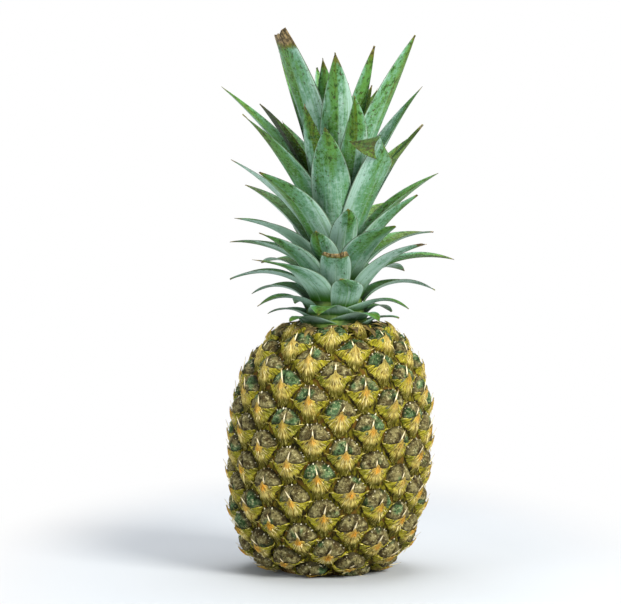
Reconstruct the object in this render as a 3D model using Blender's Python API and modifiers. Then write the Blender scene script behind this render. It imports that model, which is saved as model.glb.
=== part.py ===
"""A ripe pineapple that stands upright on its cut base.

The fruit is one body: a turned core whose skin is covered by fruitlets, the flat eyes of a
pineapple, each with a pointed bract that stands up over its cap. The fruitlets sit on one
spiral. Another one runs up the crown, whose leaves grow from a short tapered stem. Every leaf
lies on a flared shell of its own round the crown's axis, and each shell is nested inside the
one before, so that no leaf crosses another.

Units are metres, +Z is up, and the origin is the middle of the cut base. The view that the
sizes were worked out for looks along +Y. Azimuths are measured round Z from -Y towards +X.
"""

import math
import random

import bmesh
import bpy
import numpy as np
from mathutils import Matrix, Vector

# Fruit: outline of its envelope, as height and radius over the tips of the fruitlets
FRUIT_OUTLINE = (
    (0.0000, 0.0300),
    (0.0040, 0.0385),
    (0.0110, 0.0470),
    (0.0220, 0.0530),
    (0.0400, 0.0580),
    (0.0700, 0.0603),
    (0.0950, 0.0595),
    (0.1150, 0.0557),
    (0.1300, 0.0487),
    (0.1400, 0.0405),
    (0.1465, 0.0325),
    (0.1490, 0.0240),
)
FRUIT_LEAN = 0.047  # sideways shift of the fruit's middle, towards +X, for each metre of height
RELIEF = 0.0034  # height of a fruitlet over the core's skin
BASE_RING = (0.0136, 0.0262)  # inner and outer radius of the flat ring that the fruit stands on
SEAT_RADIUS = 0.0190  # seat in the top of the fruit, which holds the crown's foot
SEAT_DEPTH = 0.0030
STALK_SOCKET_DEPTH = 0.0060
CORE_STEPS = 22  # faces round the core
CORE_LEVELS = 15  # rings of the core's skin
BASE_EDGE = 0.0012  # height over the ground from which the core follows the envelope
SEAT_RIM_DROP = 0.0002  # the least that the seat's rim lies under the core's top
OUTLINE_SAMPLES = 400

# Fruitlets
FRUITLET_ANGLE = math.radians(137.33)  # turn from one fruitlet to the next
FRUITLET_AREA = 405.5e-6  # area of the envelope that each fruitlet takes
FIRST_FRUITLET = 0.03  # how far up its own strip of skin the lowest fruitlet sits
LAST_GAP = 0.60  # share of a strip that stays free under the crown
FRUITLET_PHASE = math.radians(38.9)
FRUITLET_SIDES = 7
NEIGHBOURS = 8  # how many of the nearest fruitlets shape the outline of one
GROOVE = 0.0011  # width of the groove between two fruitlets
CORNER_POWER = 9.0  # the higher, the sharper the corners of a fruitlet
FREE_REACH = 0.0125  # how far a fruitlet reaches where it has no neighbour
# share of the fruitlet's reach, height over the core's skin and drop under its middle of the
# foot of the spine, the shoulder, the edge in the groove and the sunk root
FRUITLET_RINGS = (
    (0.13, 0.0034, 0.0016),
    (0.80, 0.0025, 0.0),
    (1.00, -0.0010, 0.0),
    (0.80, -0.0035, 0.0),
)
RING_STEPS = len(FRUITLET_RINGS) + 1
ROOT_DEPTH = 0.0040  # how far a fruitlet's lowest point is sunk in the core
SPINE_REACH = 0.0042  # how far the spine's tip stands over the fruitlet's middle
SPINE_HEIGHT = 0.0078  # and how far it stands off the core's skin
SPINE_STOOP = 0.0032  # how much less that is where the skin faces up

CUTTER_SIZE = 0.2  # block that cuts the base flat

# Stalk that was cut through under the fruit
STALK_RADIUS = 0.0133
STALK_BEVEL = 0.0008
STALK_STEPS = 24

# Crown: axis, foot and stem
CROWN_X = 0.0070
CROWN_FOOT = 0.1463
STEM_STEPS = 20
FOOT_RADIUS = 0.0185
STEM_RADIUS = 0.0196
STEM_TAPER = 0.00026  # how much the stem narrows from one leaf to the next
FIRST_LEAF_HEIGHT = 0.1470
LEAF_RISE = 0.00106
STEM_TIP = (0.6, 0.003, 0.004)  # share of its radius at the shoulder, shoulder height, full height
GAP = 0.0003  # clearance between two pieces that touch

# Crown leaves
GOLDEN_ANGLE = math.radians(137.508)  # turn from one leaf to the next
FIRST_LEAF = -5  # leaves are numbered upwards; those under 0 are short and only fill the foot
LAST_LEAF = 67
BASAL_LEAVES = 12  # the lowest leaves, grown together with the stem's foot
HEART_LEAVES = 6  # the youngest leaves, grown together with the stem's tip
FRONT_LEAF = 15  # this leaf points straight at the view
FUSED_DEPTH = 0.0016  # how far the leaves that are grown on are sunk in
LEAF_THICKNESS = 0.00065
# rows and columns of faces: grown on the stem, clasping it, up to MIDDLE_LEAF, and over it
SMALL_GRID = (4, 2)
CLASPING_GRID = (3, 4)
LOWER_GRID = (4, 4)
UPPER_GRID = (6, 4)
MIDDLE_LEAF = 36
ROW_POWER = 1.3  # over 1 the rows stand closer towards the tip
LEAN_POWER = 0.6  # under 1 a leaf bends outwards near its foot and runs straighter beyond
MOST_WRAP = math.radians(38.0)  # how far a leaf's foot reaches round the stem on each side
TIP_WIDTH = 0.0008
CLASPING_LEAVES = 10  # the lowest leaves, whose broad feet clasp the stem
CLASP_WRAP = math.radians(62.0)
CLASP_FLARE = 1.3
# leaf number, length, width, lean at its foot and lean at its tip in degrees from upright, and
# how far its edges stand up over its middle
LEAF_STAGES = (
    (-5, 0.019, 0.0150, 33, 109, 0.0008),
    (0, 0.026, 0.0180, 30, 122, 0.0010),
    (10, 0.048, 0.0230, 28, 114, 0.0022),
    (20, 0.061, 0.0255, 23, 98, 0.0030),
    (28, 0.072, 0.0260, 17, 73, 0.0032),
    (36, 0.093, 0.0280, 11, 46, 0.0027),
    (49, 0.114, 0.0270, 6, 30, 0.0019),
    (60, 0.100, 0.0210, 3, 16.6, 0.0004),
    (62, 0.074, 0.0170, 2.5, 13.3, 0.0),
    (67, 0.050, 0.0100, 1, 6.6, 0.0),
)
# Leaves that grew or were trimmed out of the rule. stretch and narrow scale a leaf's length and
# width, cut and fold are places along it, and tip and swing are added angles in degrees.
LEAF_EXCEPTIONS = {
    4: {"stretch": 0.92},
    7: {"stretch": 0.80, "tip": -42, "swing": -16},
    9: {"stretch": 1.10},
    10: {"stretch": 1.05, "tip": -38, "swing": -24},
    12: {"stretch": 1.30, "narrow": 0.86, "tip": -36, "cut": 0.95},
    15: {"stretch": 0.83, "narrow": 0.85, "tip": -45, "cut": 0.72},
    17: {"stretch": 1.10},
    18: {"stretch": 0.95, "narrow": 0.90, "tip": -29},
    20: {"stretch": 1.05, "tip": -22},
    21: {"stretch": 0.95},
    22: {"tip": -3},
    23: {"stretch": 0.66, "narrow": 0.74, "tip": -25, "swing": 4},
    25: {"stretch": 0.92, "narrow": 0.94, "tip": -30},
    26: {"stretch": 0.90},
    28: {"stretch": 0.70, "narrow": 0.74, "tip": -16, "swing": -6},
    30: {"tip": -6},
    31: {"swing": -4},
    33: {"stretch": 1.35, "tip": -9, "swing": -14, "fold": 2 / 3},
    34: {"stretch": 0.93, "tip": 8},
    38: {"stretch": 0.92, "swing": 24},
    39: {"tip": 4.5, "swing": -6},
    41: {"narrow": 0.80, "swing": -16},
    42: {"stretch": 1.12, "tip": 9, "swing": 12},
    43: {"swing": -10},
    44: {"stretch": 0.84, "narrow": 0.70, "tip": 2, "swing": 6},
    46: {"stretch": 1.20, "tip": -1, "swing": -3},
    47: {"tip": 11, "cut": 0.79},
    48: {"stretch": 0.85},
    49: {"swing": -6},
    51: {"stretch": 0.95},
    52: {"stretch": 1.36, "narrow": 1.12, "tip": 3, "cut": 0.80},
    53: {"stretch": 0.88},
    54: {"narrow": 0.70},
    56: {"stretch": 0.80},
    57: {"stretch": 0.95},
    58: {"stretch": 0.90},
    59: {"stretch": 0.75},
    60: {"stretch": 0.86},
    61: {"stretch": 0.90},
}
LEAF_SAMPLES = 60
FOLD_SKEW = -0.09  # slant of the folded leaf's crease, as a share of its length
FOLD_ANGLE = math.radians(158.0)

LEAF_SEED = 7
LENGTH_SPREAD = 0.02
AZIMUTH_SPREAD = math.radians(2.0)

# Colours and the angle over which an edge stays sharp
RIND_COLOUR = (0.36, 0.30, 0.08)
CUT_COLOUR = (0.50, 0.38, 0.20)
STEM_COLOUR = (0.16, 0.30, 0.08)
FOOT_LEAF_COLOUR = (0.17, 0.30, 0.09)
TOP_LEAF_COLOUR = (0.16, 0.34, 0.20)
SHARP_ANGLE = math.radians(50.0)


def clear_scene():
    """Removes every object of the open scene."""
    for item in list(bpy.data.objects):
        bpy.data.objects.remove(item, do_unlink=True)


def new_collection(name, hidden=False):
    """A collection of the scene, which renders may leave out."""
    collection = bpy.data.collections.new(name)
    bpy.context.scene.collection.children.link(collection)
    collection.hide_render = hidden
    return collection


def new_material(name, colour, roughness):
    """A plain surface of one colour."""
    material = bpy.data.materials.new(name)
    material.use_nodes = True
    shader = material.node_tree.nodes["Principled BSDF"]
    shader.inputs["Base Color"].default_value = (*colour, 1.0)
    shader.inputs["Roughness"].default_value = roughness
    shader.inputs["Metallic"].default_value = 0.0
    return material


def new_object(name, mesh, collection, material=None):
    """An object at the origin that shows the mesh."""
    item = bpy.data.objects.new(name, mesh)
    collection.objects.link(item)
    if material:
        mesh.materials.clear()
        mesh.materials.append(material)
    return item


def mesh_of(bm, name):
    """Turns a bmesh into a mesh and frees it."""
    mesh = bpy.data.meshes.new(name)
    bm.to_mesh(mesh)
    bm.free()
    return mesh


def evaluated_mesh(item):
    """The object's mesh with its modifiers applied."""
    graph = bpy.context.evaluated_depsgraph_get()
    return bpy.data.meshes.new_from_object(item.evaluated_get(graph))


def shade(mesh):
    """Smooth shading with the steep edges kept sharp."""
    mesh.shade_smooth()
    mesh.set_sharp_from_angle(angle=SHARP_ANGLE)


def turned(name, profile, steps, collection):
    """A profile of radius and height pairs, from the top of the axis down, turned round Z."""
    bm = bmesh.new()
    points = [bm.verts.new((radius, 0.0, height)) for radius, height in profile]
    for first, second in zip(points, points[1:]):
        bm.edges.new((first, second))
    item = new_object(name, mesh_of(bm, name), collection)
    screw = item.modifiers.new("Turn", "SCREW")
    screw.steps = steps
    screw.render_steps = steps
    screw.use_merge_vertices = True
    screw.merge_threshold = 0.00001
    return item


def smooth_curve(points, samples):
    """A Catmull-Rom curve through the points, as an array of samples + 1 rows."""
    knots = np.array(points, float)
    padded = np.vstack([2 * knots[0] - knots[1], knots, 2 * knots[-1] - knots[-2]])
    place = np.linspace(0.0, len(knots) - 1.0, samples + 1)
    piece = np.minimum(place.astype(int), len(knots) - 2)
    t = (place - piece)[:, None]
    a, b, c, d = (padded[piece + shift] for shift in range(4))
    bend = 2 * a - 5 * b + 4 * c - d
    turn = 3 * b - a - 3 * c + d
    return 0.5 * (2 * b + (c - a) * t + bend * t**2 + turn * t**3)


class Skin:
    """The fruit's envelope, read by the distance along its outline from the base."""

    def __init__(self):
        curve = smooth_curve(FRUIT_OUTLINE, OUTLINE_SAMPLES)
        self.height = curve[:, 0]
        self.radius = curve[:, 1]
        step = np.hypot(np.diff(self.height), np.diff(self.radius))
        self.arc = np.concatenate([[0.0], np.cumsum(step)])
        band = 0.5 * (self.radius[1:] + self.radius[:-1]) * 2 * math.pi * step
        self.area = np.concatenate([[0.0], np.cumsum(band)])
        self.normal_z = -np.gradient(self.radius, self.arc)
        self.normal_r = np.gradient(self.height, self.arc)

    def radius_at(self, arc):
        """Radius of the envelope at this distance along its outline."""
        return float(np.interp(arc, self.arc, self.radius))

    def arc_of_area(self, area):
        """Distance along the outline under which the envelope has this area."""
        return float(np.interp(area, self.area, self.arc))

    def normal(self, arc):
        """Outward direction of the envelope, as its shares away from the axis and upwards."""
        r = float(np.interp(arc, self.arc, self.normal_r))
        z = float(np.interp(arc, self.arc, self.normal_z))
        size = math.hypot(r, z)
        return r / size, z / size

    def point(self, arc, azimuth, rise):
        """The point at this place, rise metres over the core's skin."""
        r, z = self.normal(arc)
        lift = rise - RELIEF
        radius = self.radius_at(arc) + r * lift
        height = float(np.interp(arc, self.arc, self.height)) + z * lift
        return Vector((radius * math.sin(azimuth), -radius * math.cos(azimuth), height))


def fruitlet_places(skin):
    """Arc and azimuth of each fruitlet, one strip of equal area each, from the base up."""
    strips = skin.area[-1] / FRUITLET_AREA
    count = int(strips - LAST_GAP - FIRST_FRUITLET) + 1
    places = []
    for number in range(count):
        arc = skin.arc_of_area((number + FIRST_FRUITLET) * FRUITLET_AREA)
        places.append((arc, FRUITLET_PHASE - number * FRUITLET_ANGLE))
    return places


def flat_offset(skin, place, other):
    """How far the other fruitlet's middle lies to the right of and above this one, unrolled."""
    turn = (other[1] - place[1] + math.pi) % (2 * math.pi) - math.pi
    radius = 0.5 * (skin.radius_at(place[0]) + skin.radius_at(other[0]))
    return Vector((turn * radius, other[0] - place[0]))


def cell_reach(offsets, direction):
    """Distance from a fruitlet's middle to its edge in this direction: a rounded polygon."""
    total = FREE_REACH**-CORNER_POWER
    for offset in offsets:
        half = 0.5 * (offset.length - GROOVE)
        ahead = direction.dot(offset.normalized()) / half
        if ahead > 0.0:
            total += ahead**CORNER_POWER
    return total ** (-1.0 / CORNER_POWER)


def fruitlet_mesh(skin, place, offsets):
    """One eye of the rind: a low boss whose middle is drawn out to the bract's thin point.

    It starts as a sphere of few rings. From the bottom they become the sunk root, the edge in
    the groove, the shoulder and the foot of the point, and the top of the sphere is its tip.
    """
    bm = bmesh.new()
    bmesh.ops.create_uvsphere(
        bm, u_segments=FRUITLET_SIDES, v_segments=RING_STEPS, radius=1.0
    )
    turn = Matrix.Rotation(math.radians(-90.0), 4, "Z")
    bmesh.ops.rotate(bm, matrix=turn, verts=bm.verts)
    for vert in bm.verts:
        flat = Vector((vert.co.x, vert.co.y))
        ring = round(math.acos(max(-1.0, min(1.0, vert.co.z))) / math.pi * RING_STEPS)
        if ring == 0:
            rise = SPINE_HEIGHT - SPINE_STOOP * max(0.0, skin.normal(place[0])[1])
            offset = Vector((0.0, SPINE_REACH))
        elif ring == RING_STEPS:
            offset, rise = Vector((0.0, 0.0)), -ROOT_DEPTH
        else:
            share, rise, drop = FRUITLET_RINGS[ring - 1]
            direction = flat.normalized()
            offset = direction * cell_reach(offsets, direction) * share
            offset.y -= drop
        arc = place[0] + offset.y
        azimuth = place[1] + offset.x / skin.radius_at(arc)
        vert.co = skin.point(arc, azimuth, rise)
    return mesh_of(bm, "Fruitlet")


def core_profile(skin):
    """Radius and height pairs of the core, from the middle of its top down to its base."""
    outer = []
    for arc in np.linspace(skin.arc[-1], skin.arc[0], CORE_LEVELS):
        point = skin.point(arc, 0.0, 0.0)
        outer.append((-point.y, point.z))
    seat = CROWN_FOOT - GAP
    rim = min(seat + SEAT_DEPTH, outer[0][1] - SEAT_RIM_DROP)
    inner, outside = BASE_RING
    profile = [(0.0, seat), (SEAT_RADIUS, seat), (SEAT_RADIUS, rim)]
    profile += [pair for pair in outer if pair[1] > BASE_EDGE]
    profile += [(outside, 0.0), (inner, 0.0)]
    profile += [(inner, STALK_SOCKET_DEPTH), (0.0, STALK_SOCKET_DEPTH)]
    return profile


def joined_mesh(body, cutters):
    """The body united with every object of the collection, which are all used up."""
    join = body.modifiers.new("Join", "BOOLEAN")
    join.operation = "UNION"
    join.operand_type = "COLLECTION"
    join.collection = cutters
    join.solver = "MANIFOLD"
    mesh = evaluated_mesh(body)
    for item in [body, *cutters.objects]:
        bpy.data.objects.remove(item, do_unlink=True)
    return mesh


def cut_flat(item, cutters):
    """Takes away what lies under the ground."""
    bm = bmesh.new()
    bmesh.ops.create_cube(bm, size=CUTTER_SIZE)
    bmesh.ops.translate(bm, vec=(0.0, 0.0, -0.5 * CUTTER_SIZE), verts=bm.verts)
    block = new_object("BaseCut", mesh_of(bm, "BaseCut"), cutters)
    block.display_type = "WIRE"
    block.hide_render = True
    cut = item.modifiers.new("FlatBase", "BOOLEAN")
    cut.operation = "DIFFERENCE"
    cut.object = block
    cut.solver = "MANIFOLD"
    item.data = evaluated_mesh(item)
    item.modifiers.clear()
    bpy.data.objects.remove(block, do_unlink=True)


def lean_over(mesh):
    """Shifts the mesh sideways with its height, as the fruit grew."""
    for vert in mesh.vertices:
        vert.co.x += FRUIT_LEAN * vert.co.z


def build_fruit(collection, cutters):
    """The whole fruit as one body: core and fruitlets joined, with the base cut flat."""
    skin = Skin()
    places = fruitlet_places(skin)
    for place in places:
        offsets = [flat_offset(skin, place, other) for other in places if other != place]
        offsets.sort(key=lambda offset: offset.length)
        new_object("Fruitlet", fruitlet_mesh(skin, place, offsets[:NEIGHBOURS]), cutters)
    core = turned("FruitCore", core_profile(skin), CORE_STEPS, collection)
    mesh = joined_mesh(core, cutters)
    fruit = new_object("fruit", mesh, collection, new_material("Rind", RIND_COLOUR, 0.6))
    cut_flat(fruit, cutters)
    lean_over(fruit.data)
    shade(fruit.data)


def build_stalk(collection):
    """The stub of the stalk, cut flush with the fruit's base."""
    top = STALK_SOCKET_DEPTH - GAP
    profile = [
        (0.0, top),
        (STALK_RADIUS - STALK_BEVEL, top),
        (STALK_RADIUS, top - STALK_BEVEL),
        (STALK_RADIUS, 0.0),
        (0.0, 0.0),
    ]
    stalk = turned("cut_stalk", profile, STALK_STEPS, collection)
    mesh = evaluated_mesh(stalk)
    bpy.data.objects.remove(stalk, do_unlink=True)
    lean_over(mesh)
    shade(mesh)
    new_object("cut_stalk", mesh, collection, new_material("Cut", CUT_COLOUR, 0.8))


def leaf_rule(number, column):
    """A value of LEAF_STAGES for this leaf."""
    table = np.array(LEAF_STAGES, float)
    return float(np.interp(number, table[:, 0], table[:, column]))


class Leaf:
    """One crown leaf as a sheet without thickness, on its own flared shell."""

    def __init__(self, number, rng):
        odd = LEAF_EXCEPTIONS.get(number, {})
        self.number = number
        self.length = leaf_rule(number, 1) * odd.get("stretch", 1.0)
        self.length *= 1.0 + rng.uniform(-LENGTH_SPREAD, LENGTH_SPREAD)
        self.half_width = 0.5 * leaf_rule(number, 2) * odd.get("narrow", 1.0)
        self.azimuth = (FRONT_LEAF - number) * GOLDEN_ANGLE
        self.azimuth += rng.uniform(-AZIMUTH_SPREAD, AZIMUTH_SPREAD)
        self.swing = math.radians(odd.get("swing", 0.0))
        self.clasps = number < FIRST_LEAF + CLASPING_LEAVES
        self.cut = odd.get("cut", 1.0)
        self.fold = odd.get("fold")
        self.channel = leaf_rule(number, 5)
        root = math.radians(leaf_rule(number, 3))
        tip = math.radians(leaf_rule(number, 4) + odd.get("tip", 0.0))
        self.along = np.linspace(0.0, 1.0, LEAF_SAMPLES + 1)
        self.lean = root + (tip - root) * self.along**LEAN_POWER
        middle = 0.5 * (self.lean[1:] + self.lean[:-1])
        step = self.length / LEAF_SAMPLES
        turns = number - FIRST_LEAF
        foot = STEM_RADIUS - STEM_TAPER * turns + 2 * GAP + 0.5 * LEAF_THICKNESS
        self.radius = foot + np.concatenate([[0.0], np.cumsum(np.sin(middle))]) * step
        self.height = FIRST_LEAF_HEIGHT + LEAF_RISE * turns
        self.height = self.height + np.concatenate([[0.0], np.cumsum(np.cos(middle))]) * step

    def middle(self, along):
        """Distance from the axis, height and lean of the leaf's middle, along from 0 to 1."""
        return tuple(
            float(np.interp(along, self.along, values))
            for values in (self.radius, self.height, self.lean)
        )

    def half_width_at(self, along):
        """Half the leaf's width: a broad foot, widest under the middle, a drawn-out point."""
        if along < 0.4:
            share = 0.78 + 0.22 * math.sin(along / 0.4 * math.pi / 2)
        else:
            share = 1.0 - ((along - 0.4) / 0.6) ** 1.8
        if self.clasps and along < 0.4:
            share += CLASP_FLARE * (1.0 - along / 0.4) ** 1.5
        return max(self.half_width * share, 0.5 * TIP_WIDTH)

    def point(self, along, across):
        """A point of the leaf, across from -1 at one edge to 1 at the other."""
        radius, height, lean = self.middle(along)
        most = CLASP_WRAP if self.clasps else MOST_WRAP
        wrap = min(self.half_width_at(along) / radius, most)
        turn = self.azimuth + across * wrap + self.swing * along**2
        lift = self.channel * math.sin(math.pi * min(along, 1.0)) * across**2
        radius -= lift * math.cos(lean)
        height += lift * math.sin(lean)
        return Vector((CROWN_X + radius * math.sin(turn), -radius * math.cos(turn), height))

    def sheet(self, rows, columns):
        """The leaf as a bmesh grid, split into triangles."""
        bm = bmesh.new()
        bmesh.ops.create_grid(bm, x_segments=columns, y_segments=rows, size=1.0)
        beyond = []
        for vert in bm.verts:
            across = vert.co.x
            row = 0.5 * (vert.co.y + 1.0)
            along = (1.0 - (1.0 - row) ** ROW_POWER) * self.cut
            if self.fold:
                along = row
                slant = min(row / self.fold, (1.0 - row) / (1.0 - self.fold))
                along += FOLD_SKEW * slant * across
                if row > self.fold + 1e-4:
                    beyond.append(vert)
            vert.co = self.point(along, across)
        if beyond:
            left = self.point(self.fold - FOLD_SKEW, -1.0)
            right = self.point(self.fold + FOLD_SKEW, 1.0)
            turn = Matrix.Rotation(FOLD_ANGLE, 4, right - left)
            bmesh.ops.rotate(bm, cent=left, matrix=turn, verts=beyond)
        bmesh.ops.triangulate(bm, faces=bm.faces)
        return mesh_of(bm, "Leaf")


def leaf_solid(leaf, name, collection, grid, material=None):
    """The leaf with its thickness."""
    item = new_object(name, leaf.sheet(*grid), collection)
    wall = item.modifiers.new("Thickness", "SOLIDIFY")
    wall.thickness = LEAF_THICKNESS
    wall.offset = 0.0
    wall.use_even_offset = True
    mesh = evaluated_mesh(item)
    bpy.data.objects.remove(item, do_unlink=True)
    shade(mesh)
    new_object(name, mesh, collection, material)


def stem_profile():
    """Radius and height pairs of the crown's stem, from its tip down to its foot."""
    turns = LAST_LEAF - FIRST_LEAF
    top = FIRST_LEAF_HEIGHT + LEAF_RISE * turns
    tip_radius = STEM_RADIUS - STEM_TAPER * turns
    return [
        (0.0, top + STEM_TIP[2]),
        (STEM_TIP[0] * tip_radius, top + STEM_TIP[1]),
        (tip_radius, top),
        (STEM_RADIUS, FIRST_LEAF_HEIGHT),
        (FOOT_RADIUS, CROWN_FOOT),
        (0.0, CROWN_FOOT),
    ]


def build_stem(collection, cutters, leaves):
    """The crown's stem with its lowest and its youngest leaves grown on."""
    fused = leaves[:BASAL_LEAVES] + leaves[-HEART_LEAVES:]
    for leaf in fused:
        leaf.radius -= FUSED_DEPTH
        leaf_solid(leaf, "SmallLeaf", cutters, CLASPING_GRID if leaf.clasps else SMALL_GRID)
    stem = turned("StemCore", stem_profile(), STEM_STEPS, collection)
    stem.location.x = CROWN_X
    mesh = joined_mesh(stem, cutters)
    mesh.transform(Matrix.Translation((CROWN_X, 0.0, 0.0)))
    shade(mesh)
    new_object("crown_stem", mesh, collection, new_material("Stem", STEM_COLOUR, 0.6))


def leaf_colour(number):
    """Yellow-green at the crown's foot, blue-green towards its top."""
    share = (number - FIRST_LEAF) / (LAST_LEAF - FIRST_LEAF)
    return tuple(Vector(FOOT_LEAF_COLOUR).lerp(Vector(TOP_LEAF_COLOUR), share))


def build_crown(collection, cutters):
    """The stem and all the leaves that stand free of each other."""
    rng = random.Random(LEAF_SEED)
    leaves = [Leaf(number, rng) for number in range(FIRST_LEAF, LAST_LEAF + 1)]
    free = leaves[BASAL_LEAVES:-HEART_LEAVES]
    build_stem(collection, cutters, leaves)
    for place, leaf in enumerate(free, start=1):
        material = new_material(f"Leaf {place}", leaf_colour(leaf.number), 0.45)
        low = leaf.number < MIDDLE_LEAF and not leaf.fold
        grid = LOWER_GRID if low else UPPER_GRID
        leaf_solid(leaf, f"crown_leaf_{place:02d}", collection, grid, material)


def main():
    """Builds the pineapple in an empty scene."""
    clear_scene()
    collection = new_collection("Pineapple")
    cutters = new_collection("Joined", hidden=True)
    build_fruit(collection, cutters)
    build_stalk(collection)
    build_crown(collection, cutters)


main()
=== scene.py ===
"""Dresses the pineapple: its fruitlets, bracts, crown leaves, and the studio it stands in.

The fruit keeps the envelope and the golden-angle spiral of the solids. Each fruitlet gets a
wrinkled cap with a beaded rim, and a fibrous bract that ends in a thin spine. Each crown leaf
keeps its own flared shell, and gets a channelled blade that thins towards its edges.
"""

import logging
import math
import random
from dataclasses import dataclass, field
from enum import Enum

import bmesh
import bpy
import numpy as np
from mathutils import Matrix, Vector


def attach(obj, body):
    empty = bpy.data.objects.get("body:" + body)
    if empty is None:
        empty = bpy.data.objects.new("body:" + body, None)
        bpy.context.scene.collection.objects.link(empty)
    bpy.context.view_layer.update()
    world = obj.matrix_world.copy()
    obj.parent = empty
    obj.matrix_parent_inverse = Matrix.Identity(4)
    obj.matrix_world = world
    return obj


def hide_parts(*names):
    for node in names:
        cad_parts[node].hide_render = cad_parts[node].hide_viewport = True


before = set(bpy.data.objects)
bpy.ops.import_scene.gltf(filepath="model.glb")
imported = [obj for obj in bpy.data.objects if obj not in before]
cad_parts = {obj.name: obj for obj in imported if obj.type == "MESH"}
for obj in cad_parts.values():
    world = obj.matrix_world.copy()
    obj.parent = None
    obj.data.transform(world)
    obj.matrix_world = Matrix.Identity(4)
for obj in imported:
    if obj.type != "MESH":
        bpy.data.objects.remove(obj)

LOG = logging.getLogger("pineapple")
GOLDEN_ANGLE = math.radians(137.508)
ALMOST_ZERO = 1e-6
SHARP_ANGLE = math.radians(50.0)

Colour = tuple[float, float, float, float]


def shade(red: int, green: int, blue: int) -> Colour:
    """A colour given as it looks on a screen, in 0 to 255, as linear light.

    Args:
        red: Red share.
        green: Green share.
        blue: Blue share.

    Returns:
        The colour with full opacity.
    """
    parts = [value / 255.0 for value in (red, green, blue)]
    linear = [p / 12.92 if p <= 0.04045 else ((p + 0.055) / 1.055) ** 2.4 for p in parts]
    return (linear[0], linear[1], linear[2], 1.0)


def smooth_step(low: float, high: float, value: np.ndarray) -> np.ndarray:
    """A soft step from 0 at low to 1 at high.

    Args:
        low: Value where the step starts.
        high: Value where it ends.
        value: Values to read.

    Returns:
        One share for each value.
    """
    share = np.clip((value - low) / (high - low), 0.0, 1.0)
    return share * share * (3.0 - 2.0 * share)


def ripple(value: np.ndarray, seed: np.ndarray | float) -> np.ndarray:
    """Uneven ridges along one number, between about -1 and 1.

    Args:
        value: Place across the ridges, about one ridge for each unit.
        seed: Shifts the ridges, so that no two pieces match.

    Returns:
        One height for each place.
    """
    slow = np.sin(2.0 * value + 5.1 * seed) + 0.6 * np.sin(4.7 * value + 3.3 * seed + 1.0)
    fast = 0.5 * np.sin(9.1 * value + 7.7 * seed) + 0.3 * np.sin(15.7 * value + 2.9 * seed)
    return (slow + fast) / 2.0


def bell(value: np.ndarray | float, width: np.ndarray | float) -> np.ndarray:
    """A soft hump over 0, which is 1 high and near 0 from twice its width on."""
    return np.exp(-((value / width) ** 2))


def mesh_of(bm: bmesh.types.BMesh, name: str) -> bpy.types.Mesh:
    """Keeps a bmesh as a mesh of this name and frees it."""
    mesh = bpy.data.meshes.new(name)
    bm.to_mesh(mesh)
    bm.free()
    return mesh


def turned(
    name: str, profile: list[tuple[float, float]], steps: int, lean: float = 0.0, shift: float = 0.0
) -> bpy.types.Mesh:
    """A closed solid of revolution.

    Args:
        name: Name of the mesh.
        profile: Radius and height of each ring, from the axis round to the axis.
        steps: Number of facets round it.
        lean: Shift to the right for each metre of height.
        shift: Shift to the right of all of it.

    Returns:
        The mesh, with its faces turned outwards.
    """
    bm = bmesh.new()
    last = len(profile) - 1
    bmesh.ops.create_grid(bm, x_segments=last, y_segments=steps, size=1.0)
    # the grid's width runs along the profile and its height once round the axis
    for vert in bm.verts:
        radius, height = profile[round(0.5 * (vert.co.x + 1.0) * last)]
        turn = math.pi * vert.co.y
        middle = shift + lean * height
        vert.co = (middle + radius * math.cos(turn), radius * math.sin(turn), height)
    bmesh.ops.remove_doubles(bm, verts=bm.verts, dist=ALMOST_ZERO)
    bmesh.ops.recalc_face_normals(bm, faces=bm.faces)
    return mesh_of(bm, name)


def new_object(name: str, data: bpy.types.ID) -> bpy.types.Object:
    """Puts an object with this data into the scene."""
    thing = bpy.data.objects.new(name, data)
    bpy.context.scene.collection.objects.link(thing)
    return thing


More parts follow.
